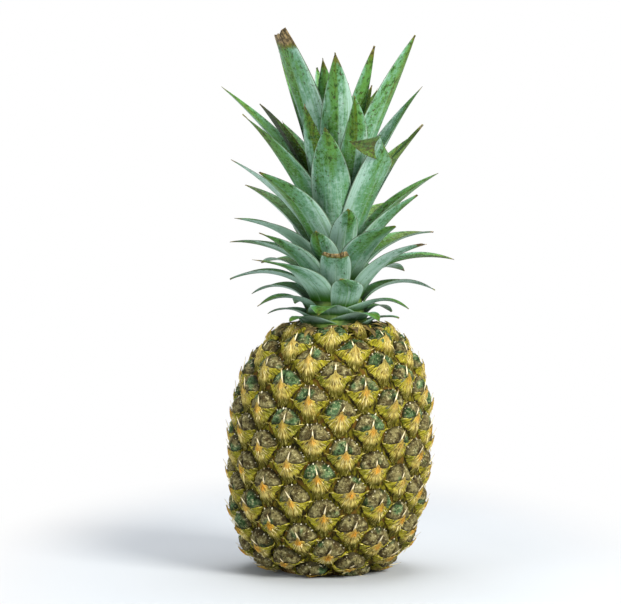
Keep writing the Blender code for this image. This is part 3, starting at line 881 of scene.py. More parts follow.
@dataclass
class Fruit:
    """The whole fruit: groove, cells with caps, bracts, spines, beads and hairs."""

    skin: FruitSkin = field(default_factory=FruitSkin)
    cell_area: float = 405.5e-6
    first: float = 0.03
    last_gap: float = 0.60
    phase: float = math.radians(38.9)
    turn: float = math.radians(137.33)
    groove: float = 0.0006
    corner_power: float = 9.0
    free_reach: float = 0.0125
    neighbours: int = 8
    cell_grid: int = 20
    bract_columns: int = 22
    bract_rows: int = 11
    cap_middle: float = 0.30
    cap_half_width: float = 0.99
    cap_half_height: float = 0.64
    bract_wall: float = 0.0004
    slit_side: float = -0.07
    slit_width: float = 0.075
    # where the painted shadow ring round each cap lies, and how far it spreads inside and outside
    shadow_ring_place: float = 1.02
    shadow_ring_inside: float = 0.15
    shadow_ring_outside: float = 0.30
    beads: int = 12
    hairs: int = 4
    strands: int = 9
    seed: int = 11
    # heights over the core's skin, in metres
    cell_foot: float = -0.0014
    cell_height: float = 0.0036
    dome: float = 0.0023
    slit_depth: float = 0.0011
    lip: float = 0.0006
    wrinkle: float = 0.0007
    grain: float = 0.0002
    ditch: float = 0.0006
    bract_rise: tuple[float, float] = (0.0006, 0.0028)
    bract_gap: float = 0.0005
    bract_ridge: float = 0.0020
    # the core: radius and height of the crown's seat, and of the base with the stalk's socket
    seat: tuple[tuple[float, float], ...] = ((0.0, 0.146), (0.019, 0.146), (0.0192, 0.1463))
    base: tuple[tuple[float, float], ...] = (
        (0.0262, 0.0),
        (0.0136, 0.0),
        (0.0136, 0.006),
        (0.0, 0.006),
    )
    core_rings: int = 56
    core_steps: int = 96
    core_rise: float = -0.0001
    core_lowest: float = 0.0012

    def __post_init__(self) -> None:
        """Finds each fruitlet's place, neighbours and own looks."""
        self.rng = np.random.default_rng(self.seed)
        strips = self.skin.area[-1] / self.cell_area
        count = int(strips - self.last_gap - self.first) + 1
        numbers = np.arange(count)
        arcs = np.interp((numbers + self.first) * self.cell_area, self.skin.area, self.skin.arc)
        azimuths = self.phase - numbers * self.turn
        self.fruitlets = []
        for number, arc, azimuth in zip(numbers, arcs, azimuths):
            turn = (azimuths - azimuth + math.pi) % (2 * math.pi) - math.pi
            radius = 0.5 * (self.skin.radius_at(arc) + self.skin.radius_at(arcs))
            offsets = np.column_stack([turn * radius, arcs - arc])
            order = np.argsort(np.hypot(offsets[:, 0], offsets[:, 1]))
            level = float(number / count)
            self.fruitlets.append(
                Fruitlet(
                    arc=float(arc),
                    azimuth=float(azimuth),
                    offsets=offsets[order[1 : self.neighbours + 1]],
                    seed=float(self.rng.uniform(0.0, 40.0)),
                    skew=float(self.rng.normal(0.0, 0.18)),
                    length=float(self.rng.uniform(0.70, 1.05)),
                    teal=float(np.clip(0.18 + 0.36 * level + self.rng.normal(0.0, 0.12), 0.0, 1.0)),
                    orange=float(np.clip(1.05 - 1.0 * level + self.rng.normal(0.0, 0.2), 0.0, 1.0)),
                )
            )

    def cell_points(
        self, fruitlet: Fruitlet, x: np.ndarray, y: np.ndarray, rise: np.ndarray
    ) -> np.ndarray:
        """Places in a cell, whose edge is the unit circle of x and y.

        Args:
            fruitlet: The fruitlet.
            x: Share to the right.
            y: Share upwards.
            rise: Height over the core's skin.

        Returns:
            One row of x, y and z for each place.
        """
        share = np.hypot(x, y)
        angle = np.arctan2(y, x)
        reach = fruitlet.reach(angle, self.free_reach, self.groove, self.corner_power)
        arc = fruitlet.arc + share * reach * np.sin(angle)
        radius = self.skin.radius_at(arc)
        azimuth = fruitlet.azimuth + share * reach * np.cos(angle) / radius
        return self.skin.points(arc, azimuth, rise)

    def cap_place(self, x: np.ndarray, y: np.ndarray) -> tuple[np.ndarray, np.ndarray]:
        """Where a place of the cell is on its cap.

        Args:
            x: Share to the right.
            y: Share upwards.

        Returns:
            Distance from the cap's middle, 1 on its rim, and the angle round it.
        """
        right = x / self.cap_half_width
        up = (y - self.cap_middle) / self.cap_half_height
        return np.hypot(right, up), np.arctan2(up, right)

    def cap_slit(self, fruitlet: Fruitlet, x: np.ndarray, y: np.ndarray) -> np.ndarray:
        """How deep a place lies in the slit that parts the cap beside its spine.

        Args:
            fruitlet: The fruitlet.
            x: Share to the right.
            y: Share upwards.

        Returns:
            One share for each place.
        """
        middle = self.slit_side * (1.0 if fruitlet.skew > 0.0 else -1.0) + fruitlet.skew * y
        return bell(x - middle, self.slit_width) * smooth_step(0.86, 0.5, y)

    def cell_rise(self, fruitlet: Fruitlet, x: np.ndarray, y: np.ndarray) -> np.ndarray:
        """Height of a cell's surface over the core's skin.

        Args:
            fruitlet: The fruitlet.
            x: Share to the right.
            y: Share upwards.

        Returns:
            One height for each place.
        """
        share = np.minimum(np.hypot(x, y), 1.0)
        base = self.cell_foot + self.cell_height * (1.0 - share**7) ** 0.9
        spread, turn = self.cap_place(x, y)
        dome = self.dome * np.sqrt(np.maximum(0.0, 1.0 - spread**2.6))
        slit = self.slit_depth * self.cap_slit(fruitlet, x, y) * smooth_step(1.0, 0.8, spread)
        lip = self.lip * bell(spread - 0.97, 0.10) * smooth_step(-0.2, 0.4, np.sin(turn))
        wrinkle = self.wrinkle * ripple(6.0 * turn, fruitlet.seed) * smooth_step(0.05, 0.8, spread)
        wrinkle = wrinkle * smooth_step(1.12, 0.95, spread)
        grain = self.grain * ripple(9.0 * x + 3.0 * y, fruitlet.seed) * ripple(8.0 * y, fruitlet.seed)
        ditch = self.ditch * bell(spread - 1.14, 0.08) * (share < 1.0)
        return base + dome - slit + lip + wrinkle + grain - ditch

    def build_groove(self) -> None:
        """The core that shows in the grooves, with the dished base and the seat on top."""
        skin = self.skin
        levels = np.linspace(skin.arc[-1], skin.arc[0], self.core_rings)
        outer = skin.points(levels, np.zeros_like(levels), np.full_like(levels, self.core_rise))
        middle = [(-p[1], p[2]) for p in outer if p[2] > self.core_lowest]
        profile = [*self.seat, *middle, *self.base]
        mesh = turned("fruit_core", profile, self.core_steps, lean=skin.lean)
        add_piece("fruit_core", mesh, GrooveFinish().material(), "fruit")

    def add_rind(
        self,
        name: str,
        shape: Shape,
        places: list[np.ndarray],
        finish: bpy.types.Material,
        numbers: list[dict[str, np.ndarray]] | None = None,
    ) -> bpy.types.Object:
        """Puts copies of a shape on the fruit as one piece of its rind.

        Args:
            name: The piece's name.
            shape: The shape.
            places: The vertices of each copy.
            finish: The piece's material.
            numbers: For each copy, the numbers that the material reads.

        Returns:
            The piece.
        """
        return add_piece(name, shape.copies(name, places, numbers), finish, "fruit")

    def build_cells(self) -> None:
        """The cell of each fruitlet with its cap."""
        shape = Shape.grid(self.cell_grid, self.cell_grid)
        flat = shape.points()
        x = flat[:, 0] * np.sqrt(1.0 - 0.5 * flat[:, 1] ** 2)
        y = flat[:, 1] * np.sqrt(1.0 - 0.5 * flat[:, 0] ** 2)
        spread, turn = self.cap_place(x, y)
        places, numbers = [], []
        for one in self.fruitlets:
            places.append(self.cell_points(one, x, y, self.cell_rise(one, x, y)))
            # painted shade, kept in 'slit': a shadow ring round the cap (ring), the slit beside the
            # spine, a dark line in the groove at the cell's edge (border) and a contact shadow just
            # over the bract's top edge (crease)
            fall = np.where(spread > self.shadow_ring_place, self.shadow_ring_outside, self.shadow_ring_inside)
            ring = 0.88 * bell(spread - self.shadow_ring_place, fall)
            slit = 0.85 * self.cap_slit(one, x, y) * (spread < 1.0)
            border = 0.8 * smooth_step(0.86, 1.0, np.hypot(x, y))
            crease = 0.75 * bell(y - 0.02 - 0.11 * x**2 - 0.15 * bell(x, 0.34), 0.07)
            numbers.append({
                "cap": smooth_step(1.10, 0.98, spread),
                "slit": np.maximum.reduce([ring, slit, border, crease]),
                "polar": turn,
                "spread": spread,
                "teal": np.full_like(x, one.teal),
                "seed": np.full_like(x, one.seed),
            })
        self.add_rind("fruitlet_caps", shape, places, CapFinish().material(), numbers)

    def build_bracts(self) -> None:
        """The bract under each cap: a fan of fibres between two wings."""
        shape = Shape.grid(self.bract_columns, self.bract_rows)
        flat = shape.points()
        column, row = flat[:, 0], 0.5 * (flat[:, 1] + 1.0)
        x = 1.08 * np.sign(column) * np.abs(column) ** 1.3
        top = -0.03 + 0.11 * np.abs(x) ** 2 + 0.15 * bell(x, 0.34) + 0.20 * bell(x, 0.08)
        bottom = -1.20 + 0.92 * np.abs(x) ** 1.15
        bottom = bottom + (top - bottom) * np.abs(column) ** 6
        places, numbers = [], []
        for one in self.fruitlets:
            ragged = 0.16 * ripple(11.0 * x, one.seed)
            y = bottom + (top - bottom) * row + ragged * (1.0 - row) ** 2
            right = x + one.skew * 0.35 * np.maximum(y + 0.3, 0.0)
            fan = np.arctan2(x, 0.24 - y)
            under = self.cell_rise(one, 0.98 * right, 0.98 * y)
            ridge = self.bract_ridge * bell(x, 0.22) * smooth_step(-0.9, 0.15, y)
            lip = 0.0008 * row**3
            fibre = 0.00042 * ripple(6.0 * fan, one.seed) * smooth_step(0.0, 0.25, 1.0 - np.abs(column))
            rise = np.clip(under, *self.bract_rise) + self.bract_gap + ridge + lip + fibre
            rise = rise - 0.0008 * (1.0 - row) ** 4
            place = self.cell_points(one, right, y, rise)
            place[:, 2] = np.maximum(place[:, 2], self.bract_wall)
            places.append(place)
            spot = bell(x, 0.20) * bell(y + 0.04, 0.22)
            numbers.append({
                "fan": fan,
                "reach": np.hypot(x, 0.24 - y),
                "side": np.abs(x) + 0.10 * row,
                "orange": np.clip(1.4 * spot * one.orange, 0.0, 1.0),
                "low": smooth_step(-0.15, -1.1, y) + 0.35 * (1.0 - row) ** 2,
                "seed": np.full_like(x, one.seed),
            })
        piece = self.add_rind("bracts", shape, places, BractFinish().material(), numbers)
        wall = piece.modifiers.new("Thickness", "SOLIDIFY")
        wall.thickness = self.bract_wall
        wall.offset = -1.0

    def build_spines(self) -> None:
        """The thin point of each bract, which stands up over the cap."""
        shape = Shape.tube(6, 7)
        flat = shape.points()
        along = shape.along()
        places = []
        for one in self.fruitlets:
            thick = 0.075 * (1.0 - along) ** 0.8 + 0.008
            bow = one.skew * (0.35 + 1.8 * along**2)
            x = flat[:, 0] * thick + bow * 0.35
            y = 0.04 + (0.10 + 0.66 * along) * one.length * along**0.6
            stoop = 0.0030 * max(0.0, float(self.skin.upward(one.arc)))
            rise = 0.0036 + (0.0040 - stoop) * one.length * along**1.5
            rise = rise + 0.0065 * flat[:, 1] * thick
            places.append(self.cell_points(one, x, y, rise))
        numbers = [{"along": along}] * len(places)
        self.add_rind("bract_spines", shape, places, SpineFinish().material(), numbers)

    def build_beads(self) -> None:
        """The pale beads on the upper rim of each cap."""
        shape = Shape.ball()
        flat = shape.points()
        places = []
        for one in self.fruitlets:
            for bead in range(self.beads):
                step = (bead + self.rng.uniform(-0.3, 0.3)) / (self.beads - 1)
                turn = math.radians(8.0 + 164.0 * step)
                if self.rng.random() < 0.12:
                    continue
                size = self.rng.uniform(0.018, 0.044)
                spread = 1.0 + self.rng.uniform(-0.12, 0.05)
                x = self.cap_half_width * spread * math.cos(turn)
                y = self.cap_middle + self.cap_half_height * spread * math.sin(turn)
                long_way = size * (1.6 + 1.6 * self.rng.random())
                right = flat[:, 0] * size * -math.sin(turn) + flat[:, 1] * long_way * math.cos(turn)
                up = flat[:, 0] * size * math.cos(turn) + flat[:, 1] * long_way * math.sin(turn)
                right = right * (1.0 + 0.3 * np.sin(9.0 * flat[:, 1] + 5.0 * turn))
                base = float(self.cell_rise(one, np.array([x]), np.array([y]))[0])
                rise = base + 0.0001 + 0.00035 * flat[:, 2]
                places.append(self.cell_points(one, x + right, y + up, rise))
        finish = PlainFinish("Cap bead", shade(226, 220, 190), shade(120, 106, 66))
        self.add_rind("cap_beads", shape, places, finish.material())

    def hair(
        self, flat: np.ndarray, start: tuple[float, float], way: float, length: float, thick: float
    ) -> tuple[np.ndarray, np.ndarray, np.ndarray]:
        """A thin tapered hair that lies over a cell.

        Args:
            flat: Vertices of the tube that it is made from.
            start: Its foot, as shares of the cell to the right and upwards.
            way: Its direction, from the right towards the top.
            length: Its length as a share of the cell.
            thick: Its half thickness at the foot as a share of the cell.

        Returns:
            Shares to the right and upwards, and the height over the hair's middle, for each vertex.
        """
        along = 0.5 * (flat[:, 2] + 1.0)
        body = thick * (1.0 - 0.85 * along)
        right = start[0] + length * along * math.cos(way) - math.sin(way) * body * flat[:, 0]
        up = start[1] + length * along * math.sin(way) + math.cos(way) * body * flat[:, 0]
        return right, up, 0.009 * body * flat[:, 1]

    def build_hairs(self) -> None:
        """The drawn-out ends of the wings, and short ragged ends that stand out in the grooves."""
        shape = Shape.tube(3, 4)
        flat = shape.points()
        along = shape.along()
        places = []
        for one in self.fruitlets:
            for side in (-1.0, 1.0):
                way = math.radians(90.0 - side * self.rng.uniform(60.0, 88.0))
                length = self.rng.uniform(0.16, 0.34)
                right, up, rise = self.hair(flat, (0.94 * side, 0.06), way, length, 0.040)
                places.append(self.cell_points(one, right, up, rise + 0.0028))
            for _ in range(self.hairs):
                side = self.rng.choice([-1.0, 1.0])
                start = self.rng.uniform(0.30, 0.95)
                foot = 0.03 + 0.10 * start**2 + self.rng.uniform(-0.12, 0.02)
                way = math.radians(90.0 - side * self.rng.uniform(0.0, 40.0))
                length = self.rng.uniform(0.10, 0.26)
                right, up, rise = self.hair(flat, (side * start, foot), way, length, 0.018)
                lift = 0.0024 + self.rng.uniform(0.0006, 0.0024) * along
                places.append(self.cell_points(one, right, up, rise + lift))
        finish = PlainFinish("Bract hair", shade(206, 192, 118), shade(136, 122, 44), 90.0)
        self.add_rind("bract_hairs", shape, places, finish.material())

    def build_strands(self) -> None:
        """Loose fibres that fan down from each spine over the bract and past its edge."""
        shape = Shape.tube(4, 5)
        flat = shape.points()
        along = shape.along()
        places = []
        for one in self.fruitlets:
            for strand in range(self.strands):
                way = math.radians(-90.0 + 150.0 * ((strand + 0.5) / self.strands - 0.5))
                way += math.radians(self.rng.uniform(-7.0, 7.0))
                start = self.rng.uniform(0.06, 0.45)
                length = self.rng.uniform(0.28, 0.60)
                bend = self.rng.uniform(-0.10, 0.10)
                thick = 0.024 * np.sin(math.pi * np.clip(along, 0.08, 0.96)) ** 0.7
                go = start + length * along
                right = go * math.cos(way) + bend * along**2 + flat[:, 0] * thick
                up = 0.10 + go * math.sin(way) + flat[:, 0] * thick * 0.3
                under = self.cell_rise(one, np.clip(right, -1, 1), np.clip(up, -1, 1))
                rise = np.minimum(under, self.bract_rise[1]) + 0.0009 + 0.0011 * bell(right, 0.22)
                rise = rise + 0.008 * flat[:, 1] * thick + self.rng.uniform(-0.0001, 0.0005) * along
                places.append(self.cell_points(one, right, up, rise))
        finish = PlainFinish("Bract strand", shade(228, 214, 150), shade(164, 146, 70), 110.0)
        self.add_rind("bract_strands", shape, places, finish.material())

    def build(self) -> None:
        """Builds the whole fruit."""
        self.build_groove()
        self.build_cells()
        self.build_bracts()
        self.build_strands()
        self.build_spines()
        self.build_beads()
        self.build_hairs()


@dataclass
class CutStalk:
    """The stub of the stalk under the fruit, cut through flush with its base."""

    radius: float = 0.0133
    depth: float = 0.0057
    edge: float = 0.0008
    lean: float = FruitSkin.lean
    steps: int = 64
    # radius as a share of the stalk's, and height, of each ring of the cut
    cut: tuple[tuple[float, float], ...] = (
        (0.0, 0.0006),
        (0.3, 0.0005),
        (0.6, 0.0003),
        (0.85, 0.0001),
        (0.97, 0.0),
        (1.0, 0.0004),
    )

    def build(self) -> None:
        """A disc with a fibrous, slightly hollow cut."""
        profile = [(share * self.radius, height) for share, height in self.cut]
        profile += [(self.radius, self.depth - self.edge), (self.radius - self.edge, self.depth)]
        profile += [(0.0, self.depth)]
        mesh = turned("stalk_cut", profile, self.steps, lean=self.lean)
        finish = PlainFinish("Cut stalk", shade(178, 146, 96), shade(112, 82, 48), 420.0, 0.8, 0.0006)
        add_piece("stalk_cut", mesh, finish.material(), "cut_stalk")


class LeafEnd(Enum):
    """How a crown leaf ends."""

    POINT = "point"
    CUT = "cut"
    ROUND = "round"
    FOLD = "fold"


@dataclass
class CrownLeaf:
    """One leaf on its own flared shell round the crown's axis."""

    length: float
    half_width: float
    azimuth: float
    root_lean: float
    tip_lean: float
    channel: float
    foot_radius: float
    foot_height: float
    axis_x: float
    swing: float = 0.0
    cut: float = 1.0
    fold: float = 0.0
    sunk: float = 0.0
    thickness: float = 0.0011
    dry: float = 0.08
    rub_and_shade: float = 0.0
    half: float = 0.0
    seed: float = 0.0
    samples: int = 60
    fold_skew: float = -0.09
    fold_angle: float = math.radians(158.0)
    most_wrap: float = math.radians(38.0)
    lean_power: float = 0.6
    clasps: bool = False
    clasp_wrap: float = math.radians(62.0)
    clasp_flare: float = 1.3

    def __post_init__(self) -> None:
        """Works out the line of its middle."""
        self.share = np.linspace(0.0, 1.0, self.samples + 1)
        bent = self.share**self.lean_power
        self.lean = self.root_lean + (self.tip_lean - self.root_lean) * bent
        middle = 0.5 * (self.lean[1:] + self.lean[:-1])
        step = self.length / self.samples
        out = np.concatenate([[0.0], np.cumsum(np.sin(middle))]) * step
        up = np.concatenate([[0.0], np.cumsum(np.cos(middle))]) * step
        self.radius = self.foot_radius - self.sunk + out
        self.height = self.foot_height + up

    @property
    def end(self) -> LeafEnd:
        """How this leaf ends."""
        if self.fold:
            return LeafEnd.FOLD
        if self.cut < 1.0:
            return LeafEnd.CUT if self.dry else LeafEnd.ROUND
        return LeafEnd.POINT

    def half_width_at(self, along: np.ndarray) -> np.ndarray:
        """Half the width: a broad foot, widest under the middle, a drawn-out point."""
        low = 0.78 + 0.22 * np.sin(np.clip(along / 0.4, 0.0, 1.0) * math.pi / 2)
        high = 1.0 - np.clip((along - 0.4) / 0.6, 0.0, 1.0) ** 1.8
        if self.clasps:
            low = low + self.clasp_flare * (1.0 - np.clip(along / 0.4, 0.0, 1.0)) ** 1.5
        return np.maximum(self.half_width * np.where(along < 0.4, low, high), 0.0004)

    def points(self, along: np.ndarray, across: np.ndarray, lift: np.ndarray) -> np.ndarray:
        """Places on or over the leaf.

        Args:
            along: Share of its length from the foot.
            across: From -1 at one edge to 1 at the other.
            lift: Height over the leaf's middle surface, outwards from the crown.

        Returns:
            One row of x, y and z for each place.
        """
        radius = np.interp(along, self.share, self.radius)
        height = np.interp(along, self.share, self.height)
        lean = np.interp(along, self.share, self.lean)
        most = self.clasp_wrap if self.clasps else self.most_wrap
        wrap = np.minimum(self.half_width_at(along) / radius, most)
        turn = self.azimuth + across * wrap + self.swing * along**2
        rim = np.abs(across) ** 1.5
        bend = self.channel * np.sin(math.pi * np.clip(along, 0.0, 1.0)) * rim - lift
        radius = radius - bend * np.cos(lean)
        height = height + bend * np.sin(lean)
        return np.column_stack(
            [self.axis_x + radius * np.sin(turn), -radius * np.cos(turn), height]
        )

    def along_of(self, row: np.ndarray, across: np.ndarray) -> np.ndarray:
        """Share of the length for each row of the blade.

        Args:
            row: From 0 at the foot to 1 at the end.
            across: From -1 at one edge to 1 at the other.

        Returns:
            One share for each place.
        """
        if self.end is LeafEnd.FOLD:
            slant = np.minimum(row / self.fold, (1.0 - row) / (1.0 - self.fold))
            return row + self.fold_skew * slant * across
        along = (1.0 - (1.0 - row) ** 1.15) * self.cut
        if self.end is LeafEnd.CUT:
            ragged = 0.012 * ripple(5.0 * across, self.seed) + 0.016 * across
            along = along + ragged * row**8
        return along

    def blade(self, shape: Shape) -> tuple[np.ndarray, dict[str, np.ndarray]]:
        """The leaf's surface, both sides, from a closed tube.

        Args:
            shape: The tube.

        Returns:
            Its vertices, and the numbers that its material reads.
        """
        flat = shape.points()
        turn = np.arctan2(flat[:, 1], flat[:, 0])
        across = np.cos(turn)
        row = shape.along()
        if self.end is LeafEnd.ROUND:
            across = across * np.sqrt(1.0 - 0.97 * np.clip((row - 0.75) / 0.25, 0.0, 1.0) ** 2)
        along = self.along_of(row, across)
        width = self.half_width_at(along)
        body = self.thickness * (1.15 - 0.85 * np.clip(along, 0.0, 1.0) ** 1.2)
        side = np.sign(np.sin(turn)) * np.abs(np.sin(turn)) ** 0.8
        lift = 0.5 * np.minimum(body, 0.5 * width) * side
        wave = 0.0005 * np.sin(5.0 * along + self.seed) * across * np.clip(2.0 * along, 0.0, 1.0)
        curl = 0.0010 * smooth_step(0.55, 1.0, along) * np.sin(3.0 * self.seed)
        keel = 0.00025 * bell(across, 0.16) * smooth_step(0.95, 0.5, along)
        veins = 0.00005 * np.sin(across * 26.0 + self.seed)
        place = self.points(along, across, lift + wave + curl - keel + veins)
        if self.end is LeafEnd.FOLD:
            place = self.folded(place, row)
        ending = 0.25 if self.end is LeafEnd.CUT and self.dry > 0.0 else 0.0
        gone = smooth_step(self.cut - self.dry - 0.06, self.cut, along)
        dry = gone * (0.54 + 1.3 * ending) + 0.18 * smooth_step(0.80, 1.0, np.abs(across)) * gone**0.5
        flap = np.zeros_like(row)
        if self.end is LeafEnd.FOLD:
            flap = 0.35 * smooth_step(self.fold - 0.02, self.fold + 0.04, row)
            crease = 0.50 * bell(row - self.fold, 0.04)
            dry = np.maximum(dry, np.maximum(crease, 0.75 * flap))
        numbers = {
            "across": across,
            "along": along,
            "length": along * self.length,
            "width": across * width,
            "seed": np.full_like(across, self.seed),
            "dry": dry,
            "rub_and_shade": self.rub_and_shade + 0.78 * along**1.5 + flap - 0.16 * np.sign(np.sin(turn)),
            "half": np.full_like(across, self.half),
        }
        return place, numbers

    def folded(self, place: np.ndarray, row: np.ndarray) -> np.ndarray:
        """Turns the part beyond the crease over.

        Args:
            place: The unfolded vertices.
            row: From 0 at the foot to 1 at the end.

        Returns:
            The folded vertices.
        """
        ends = self.points(
            np.array([self.fold - self.fold_skew, self.fold + self.fold_skew]),
            np.array([-1.0, 1.0]),
            np.zeros(2),
        )
        left, right = Vector(ends[0]), Vector(ends[1])
        result = place.copy()
        soft = smooth_step(self.fold - 0.012, self.fold + 0.018, row)
        for index in np.nonzero(soft > 0.0)[0]:
            turn = Matrix.Rotation(self.fold_angle * float(soft[index]), 3, right - left)
            result[index] = left + turn @ (Vector(place[index]) - left)
        return result


@dataclass
class Crown:
    """The crown: a short stem with all its leaves."""

    axis_x: float = 0.0070
    foot: float = 0.1463
    foot_radius: float = 0.0185
    stem_radius: float = 0.0196
    taper: float = 0.00026
    first_height: float = 0.1470
    rise: float = 0.00106
    gap: float = 0.0003
    leaf_thickness: float = 0.00065
    first_leaf: int = -5
    last_leaf: int = 67
    basal: int = 12
    heart: int = 6
    clasping: int = 10
    front_leaf: int = 15
    fused_depth: float = 0.0016
    length_spread: float = 0.02
    azimuth_spread: float = math.radians(2.0)
    seed: int = 7
    sides: int = 28
    rings: int = 44
    small_sides: int = 20
    small_rings: int = 20
    stem_steps: int = 48
    stem_top: float = 0.004
    stem_shoulder: tuple[float, float] = (0.6, 0.003)
    # leaf number, length, width, lean at its foot and at its tip in degrees, and channel
    stages: tuple[tuple[float, ...], ...] = (
        (-5, 0.019, 0.0150, 33, 109, 0.0008),
        (0, 0.026, 0.0180, 30, 122, 0.0010),
        (10, 0.048, 0.0230, 28, 114, 0.0022),
        (20, 0.061, 0.0255, 23, 98, 0.0030),
        (28, 0.072, 0.0260, 17, 73, 0.0032),
        (36, 0.093, 0.0280, 11, 46, 0.0027),
        (49, 0.114, 0.0270, 6, 30, 0.0019),
        (60, 0.100, 0.0210, 3, 16.6, 0.0004),
        (62, 0.074, 0.0170, 2.5, 13.3, 0.0),
        (67, 0.050, 0.0100, 1, 6.6, 0.0),
    )
    odd: dict[int, dict[str, float]] = field(
        default_factory=lambda: {
            4: {"stretch": 0.92},
            7: {"stretch": 0.80, "tip": -42, "swing": -16, "dry": 0.10, "rub_and_shade": -0.05},
            9: {"stretch": 1.10},
            10: {"stretch": 1.05, "tip": -38, "swing": -24, "dry": 0.14},
            12: {"stretch": 1.30, "narrow": 0.86, "tip": -36, "cut": 0.95, "dry": 0.08},
            15: {"stretch": 0.83, "narrow": 0.85, "tip": -45, "cut": 0.72, "dry": 0.10},
            17: {"stretch": 1.10},
            18: {"stretch": 0.95, "narrow": 0.90, "tip": -29, "rub_and_shade": 0.20},
            20: {"stretch": 1.05, "tip": -22, "rub_and_shade": 0.10},
            21: {"stretch": 0.95},
            22: {"tip": -3},
            23: {"stretch": 0.66, "narrow": 0.74, "tip": -25, "swing": 4, "rub_and_shade": 0.15},
            25: {"stretch": 0.92, "narrow": 0.94, "tip": -30, "rub_and_shade": 0.05},
            26: {"stretch": 0.90},
            28: {"stretch": 0.70, "narrow": 0.74, "tip": -16, "swing": -6, "rub_and_shade": -0.10},
            30: {"tip": -6, "rub_and_shade": 0.20},
            31: {"swing": -4, "rub_and_shade": 0.15},
            33: {"stretch": 1.35, "tip": -9, "swing": -14, "fold": 2 / 3, "rub_and_shade": 0.10},
            34: {"stretch": 0.93, "tip": 8},
            36: {"dry": 0.04, "rub_and_shade": 0.10},
            38: {"stretch": 0.92, "swing": 24, "rub_and_shade": 0.35},
            39: {"tip": 4.5, "swing": -6, "rub_and_shade": 0.15},
            41: {"narrow": 0.80, "swing": -16, "rub_and_shade": 0.20},
            42: {"stretch": 1.12, "tip": 9, "swing": 12, "rub_and_shade": -0.20},
            43: {"swing": -10},
            44: {"stretch": 0.84, "narrow": 0.70, "tip": 2, "swing": 6, "rub_and_shade": 0.15},
            46: {"stretch": 1.20, "tip": -1, "swing": -3, "dry": 0.03, "rub_and_shade": 0.20},
            # painted shade: a rub of 1.30 is no rubbing but shade, and takes this leaf, set at the
            # back, to deep green
            47: {"tip": 11, "cut": 0.79, "dry": 0.0, "rub_and_shade": 1.30},
            48: {"stretch": 0.85},
            49: {"swing": -6, "dry": 0.06, "rub_and_shade": -0.10},
            51: {"stretch": 0.95, "rub_and_shade": 0.25},
            52: {"stretch": 1.36, "narrow": 1.12, "tip": 3, "cut": 0.80, "dry": 0.07, "rub_and_shade": 0.10},
            53: {"stretch": 0.88},
            54: {"narrow": 0.70, "rub_and_shade": 0.25},
            56: {"stretch": 0.80},
            57: {"stretch": 0.95, "rub_and_shade": 0.10},
            58: {"stretch": 0.90},
            59: {"stretch": 0.75},
            60: {"stretch": 0.86},
            61: {"stretch": 0.90},
        }
    )

    def leaves(self) -> list[CrownLeaf]:
        """Every leaf of the crown, from the lowest up."""
        table = np.array(self.stages, float)
        draw = random.Random(self.seed)
        looks = np.random.default_rng(self.seed)
        made = []
        for number in range(self.first_leaf, self.last_leaf + 1):
            length, width, root, tip, channel = (
                float(np.interp(number, table[:, 0], table[:, column])) for column in range(1, 6)
            )
            odd = self.odd.get(number, {})
            length *= odd.get("stretch", 1.0)
            length *= 1.0 + draw.uniform(-self.length_spread, self.length_spread)
            azimuth = (self.front_leaf - number) * GOLDEN_ANGLE
            azimuth += draw.uniform(-self.azimuth_spread, self.azimuth_spread)
            turns = number - self.first_leaf
            fused = turns < self.basal or number > self.last_leaf - self.heart
            dry = float(looks.uniform(0.02, 0.08))
            rub_and_shade = float(looks.normal(0.04, 0.14))
            stem = self.stem_radius - self.taper * turns
            made.append(
                CrownLeaf(
                    length=length,
                    half_width=0.5 * width * odd.get("narrow", 1.0),
                    azimuth=azimuth,
                    root_lean=math.radians(root),
                    tip_lean=math.radians(tip + odd.get("tip", 0.0)),
                    channel=channel,
                    foot_radius=stem + 2 * self.gap + 0.5 * self.leaf_thickness,
                    foot_height=self.first_height + self.rise * turns,
                    axis_x=self.axis_x,
                    swing=math.radians(odd.get("swing", 0.0)),
                    cut=odd.get("cut", 1.0),
                    fold=odd.get("fold", 0.0),
                    sunk=self.fused_depth if fused else 0.0,
                    clasps=turns < self.clasping,
                    dry=odd.get("dry", dry),
                    rub_and_shade=odd.get("rub_and_shade", rub_and_shade),
                    half=float(looks.uniform(-0.5, 0.5)),
                    seed=float(looks.uniform(0.0, 30.0)),
                )
            )
        return made

    def leaf_mesh(self, name: str, leaves: list[CrownLeaf], shape: Shape) -> bpy.types.Mesh:
        """One mesh of one or more leaves.

        Args:
            name: Name of the mesh.
            leaves: The leaves.
            shape: The tube that their blades are made from.

        Returns:
            The mesh with its numbers.
        """
        blades = [leaf.blade(shape) for leaf in leaves]
        return shape.copies(name, [place for place, _ in blades], [numbers for _, numbers in blades])

    def build_stem(self) -> None:
        """The stem that the leaves stand on."""
        turns = self.last_leaf - self.first_leaf
        top = self.first_height + self.rise * turns
        tip = self.stem_radius - self.taper * turns
        share, rise = self.stem_shoulder
        profile = [
            (0.0, top + self.stem_top), (share * tip, top + rise), (tip, top),
            (self.stem_radius, self.first_height), (self.foot_radius, self.foot), (0.0, self.foot),
        ]
        mesh = turned("leaf_core", profile, self.stem_steps, shift=self.axis_x)
        finish = PlainFinish("Leaf stem", shade(86, 112, 36), shade(46, 72, 22), 140.0, 0.7)
        add_piece("leaf_core", mesh, finish.material(), "crown_stem")

    def build(self) -> None:
        """Builds the stem and all the leaves."""
        self.build_stem()
        leaves = self.leaves()
        finish = LeafFinish().material()
        fine = Shape.tube(self.sides, self.rings)
        small = Shape.tube(self.small_sides, self.small_rings)
        basal = self.leaf_mesh("basal_leaves", leaves[: self.basal], small)
        add_piece("basal_leaves", basal, finish, "crown_stem")
        heart = self.leaf_mesh("heart_leaves", leaves[-self.heart :], small)
        add_piece("heart_leaves", heart, finish, "crown_stem")
        for place, leaf in enumerate(leaves[self.basal : -self.heart], start=1):
            mesh = self.leaf_mesh(f"leaf_blade_{place:02d}", [leaf], fine)
            add_piece(f"leaf_blade_{place:02d}", mesh, finish, f"crown_leaf_{place:02d}")


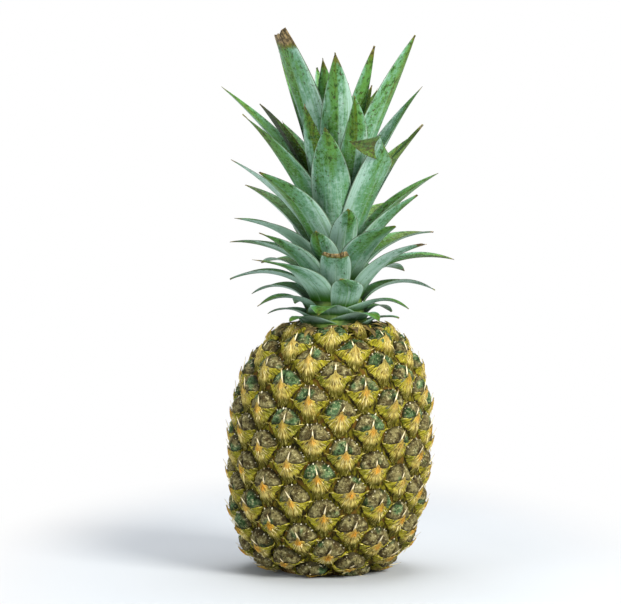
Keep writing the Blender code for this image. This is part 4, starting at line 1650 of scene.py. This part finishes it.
@dataclass
class DryCollar:
    """Withered scraps of small leaves where the crown sits on the fruit."""

    count: int = 34
    seed: int = 3
    skin: FruitSkin = field(default_factory=FruitSkin)

    def build(self) -> None:
        """A ring of curled dry scraps on the fruit's shoulder."""
        rng = np.random.default_rng(self.seed)
        shape = Shape.tube(8, 7)
        flat = shape.points()
        along = shape.along()
        places = []
        for number in range(self.count):
            azimuth = 2 * math.pi * (number + rng.uniform(-0.4, 0.4)) / self.count
            length = rng.uniform(0.005, 0.0115)
            wide = rng.uniform(0.0018, 0.0036) * (1.0 - along**1.5) + 0.0002
            curl = rng.uniform(-0.6, 0.6)
            start = self.skin.arc[-1] - rng.uniform(0.0005, 0.0055)
            arc = start - length * along
            side = flat[:, 0] * wide + curl * 0.003 * along**2
            turn = azimuth + side / self.skin.radius_at(start)
            rise = 0.0030 + 0.0016 * np.sin(2.4 * along + curl) + 0.14 * wide * flat[:, 1]
            places.append(self.skin.points(arc, turn, rise))
        mesh = shape.copies("dry_collar", places)
        finish = PlainFinish("Dry scrap", shade(132, 112, 56), shade(62, 50, 24), 260.0, 0.75)
        add_piece("dry_collar", mesh, finish.material(), "fruit")


@dataclass
class Studio:
    """The floor, the light and the camera."""

    target: tuple[float, float, float] = (-0.0081, 0.0, 0.1614)
    distance: float = 1.80
    elevation: float = math.radians(3.5)
    frame_width: float = 0.3726
    sensor: float = 36.0

    def build_floor(self) -> None:
        """A wide pale floor."""
        bm = bmesh.new()
        bmesh.ops.create_circle(bm, cap_ends=True, segments=96, radius=6.0)
        mesh = mesh_of(bm, "Floor")
        mesh.materials.append(FloorFinish().material())
        new_object("Floor", mesh)

    def build_light(self) -> None:
        """Soft lamps from the right, the left and above, and a dim white surround."""
        scene = bpy.context.scene
        world = bpy.data.worlds.new("Surround")
        world.use_nodes = True
        back = world.node_tree.nodes["Background"]
        back.inputs["Color"].default_value = (0.94, 0.97, 1.0, 1.0)
        back.inputs["Strength"].default_value = 0.36
        scene.world = world
        scene.view_settings.view_transform = "Standard"
        self.lamp("Key", (1.0, -1.1, 1.0), 0.7, 52.0, (1.0, 0.98, 0.92))
        self.lamp("Fill", (-1.3, -0.9, 0.5), 0.8, 14.0, (0.95, 0.98, 1.0))
        self.lamp("Top", (0.0, 0.3, 1.6), 1.0, 26.0, (1.0, 1.0, 1.0))

    def build_backdrop(self) -> None:
        """A white shell far round the object, which only the camera sees."""
        bm = bmesh.new()
        bmesh.ops.create_uvsphere(bm, u_segments=48, v_segments=24, radius=9.0)
        bmesh.ops.reverse_faces(bm, faces=bm.faces)
        mesh = mesh_of(bm, "Backdrop")
        material = bpy.data.materials.new("Backdrop")
        material.use_nodes = True
        tree = material.node_tree
        glow = tree.nodes.new("ShaderNodeEmission")
        tree.links.new(glow.outputs[0], tree.nodes["Material Output"].inputs["Surface"])
        mesh.materials.append(material)
        shell = new_object("Backdrop", mesh)
        shell.visible_diffuse = False
        shell.visible_glossy = False
        shell.visible_transmission = False
        shell.visible_shadow = False

    def lamp(
        self,
        name: str,
        place: tuple[float, float, float],
        size: float,
        power: float,
        colour: tuple[float, float, float],
    ) -> None:
        """One square soft lamp that looks at the object.

        Args:
            name: The lamp's name.
            place: Where it hangs.
            size: Its side.
            power: Its power in watts.
            colour: Its colour.
        """
        light = bpy.data.lights.new(name, "AREA")
        light.size = size
        light.energy = power
        light.color = colour
        lamp = new_object(name, light)
        lamp.location = place
        lamp.rotation_euler = (Vector(self.target) - Vector(place)).to_track_quat("-Z", "Y").to_euler()

    def build_camera(self) -> None:
        """The camera at the photograph's angle."""
        lens = bpy.data.cameras.new("Camera")
        lens.sensor_width = self.sensor
        back = Vector((0.0, -self.distance, self.distance * math.tan(self.elevation)))
        lens.lens = self.sensor * back.length / self.frame_width
        lens.clip_end = 50.0
        camera = new_object("Camera", lens)
        camera.location = Vector(self.target) + back
        camera.rotation_euler = (-back).to_track_quat("-Z", "Y").to_euler()
        bpy.context.scene.camera = camera

    def build(self) -> None:
        """Builds the floor, the light and the camera."""
        self.build_floor()
        self.build_backdrop()
        self.build_light()
        self.build_camera()


def main() -> None:
    """Builds every piece."""
    logging.basicConfig(level=logging.INFO, format="%(message)s")
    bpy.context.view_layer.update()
    Fruit().build()
    CutStalk().build()
    DryCollar().build()
    Crown().build()
    Studio().build()


if __name__ == "__main__":
    main()
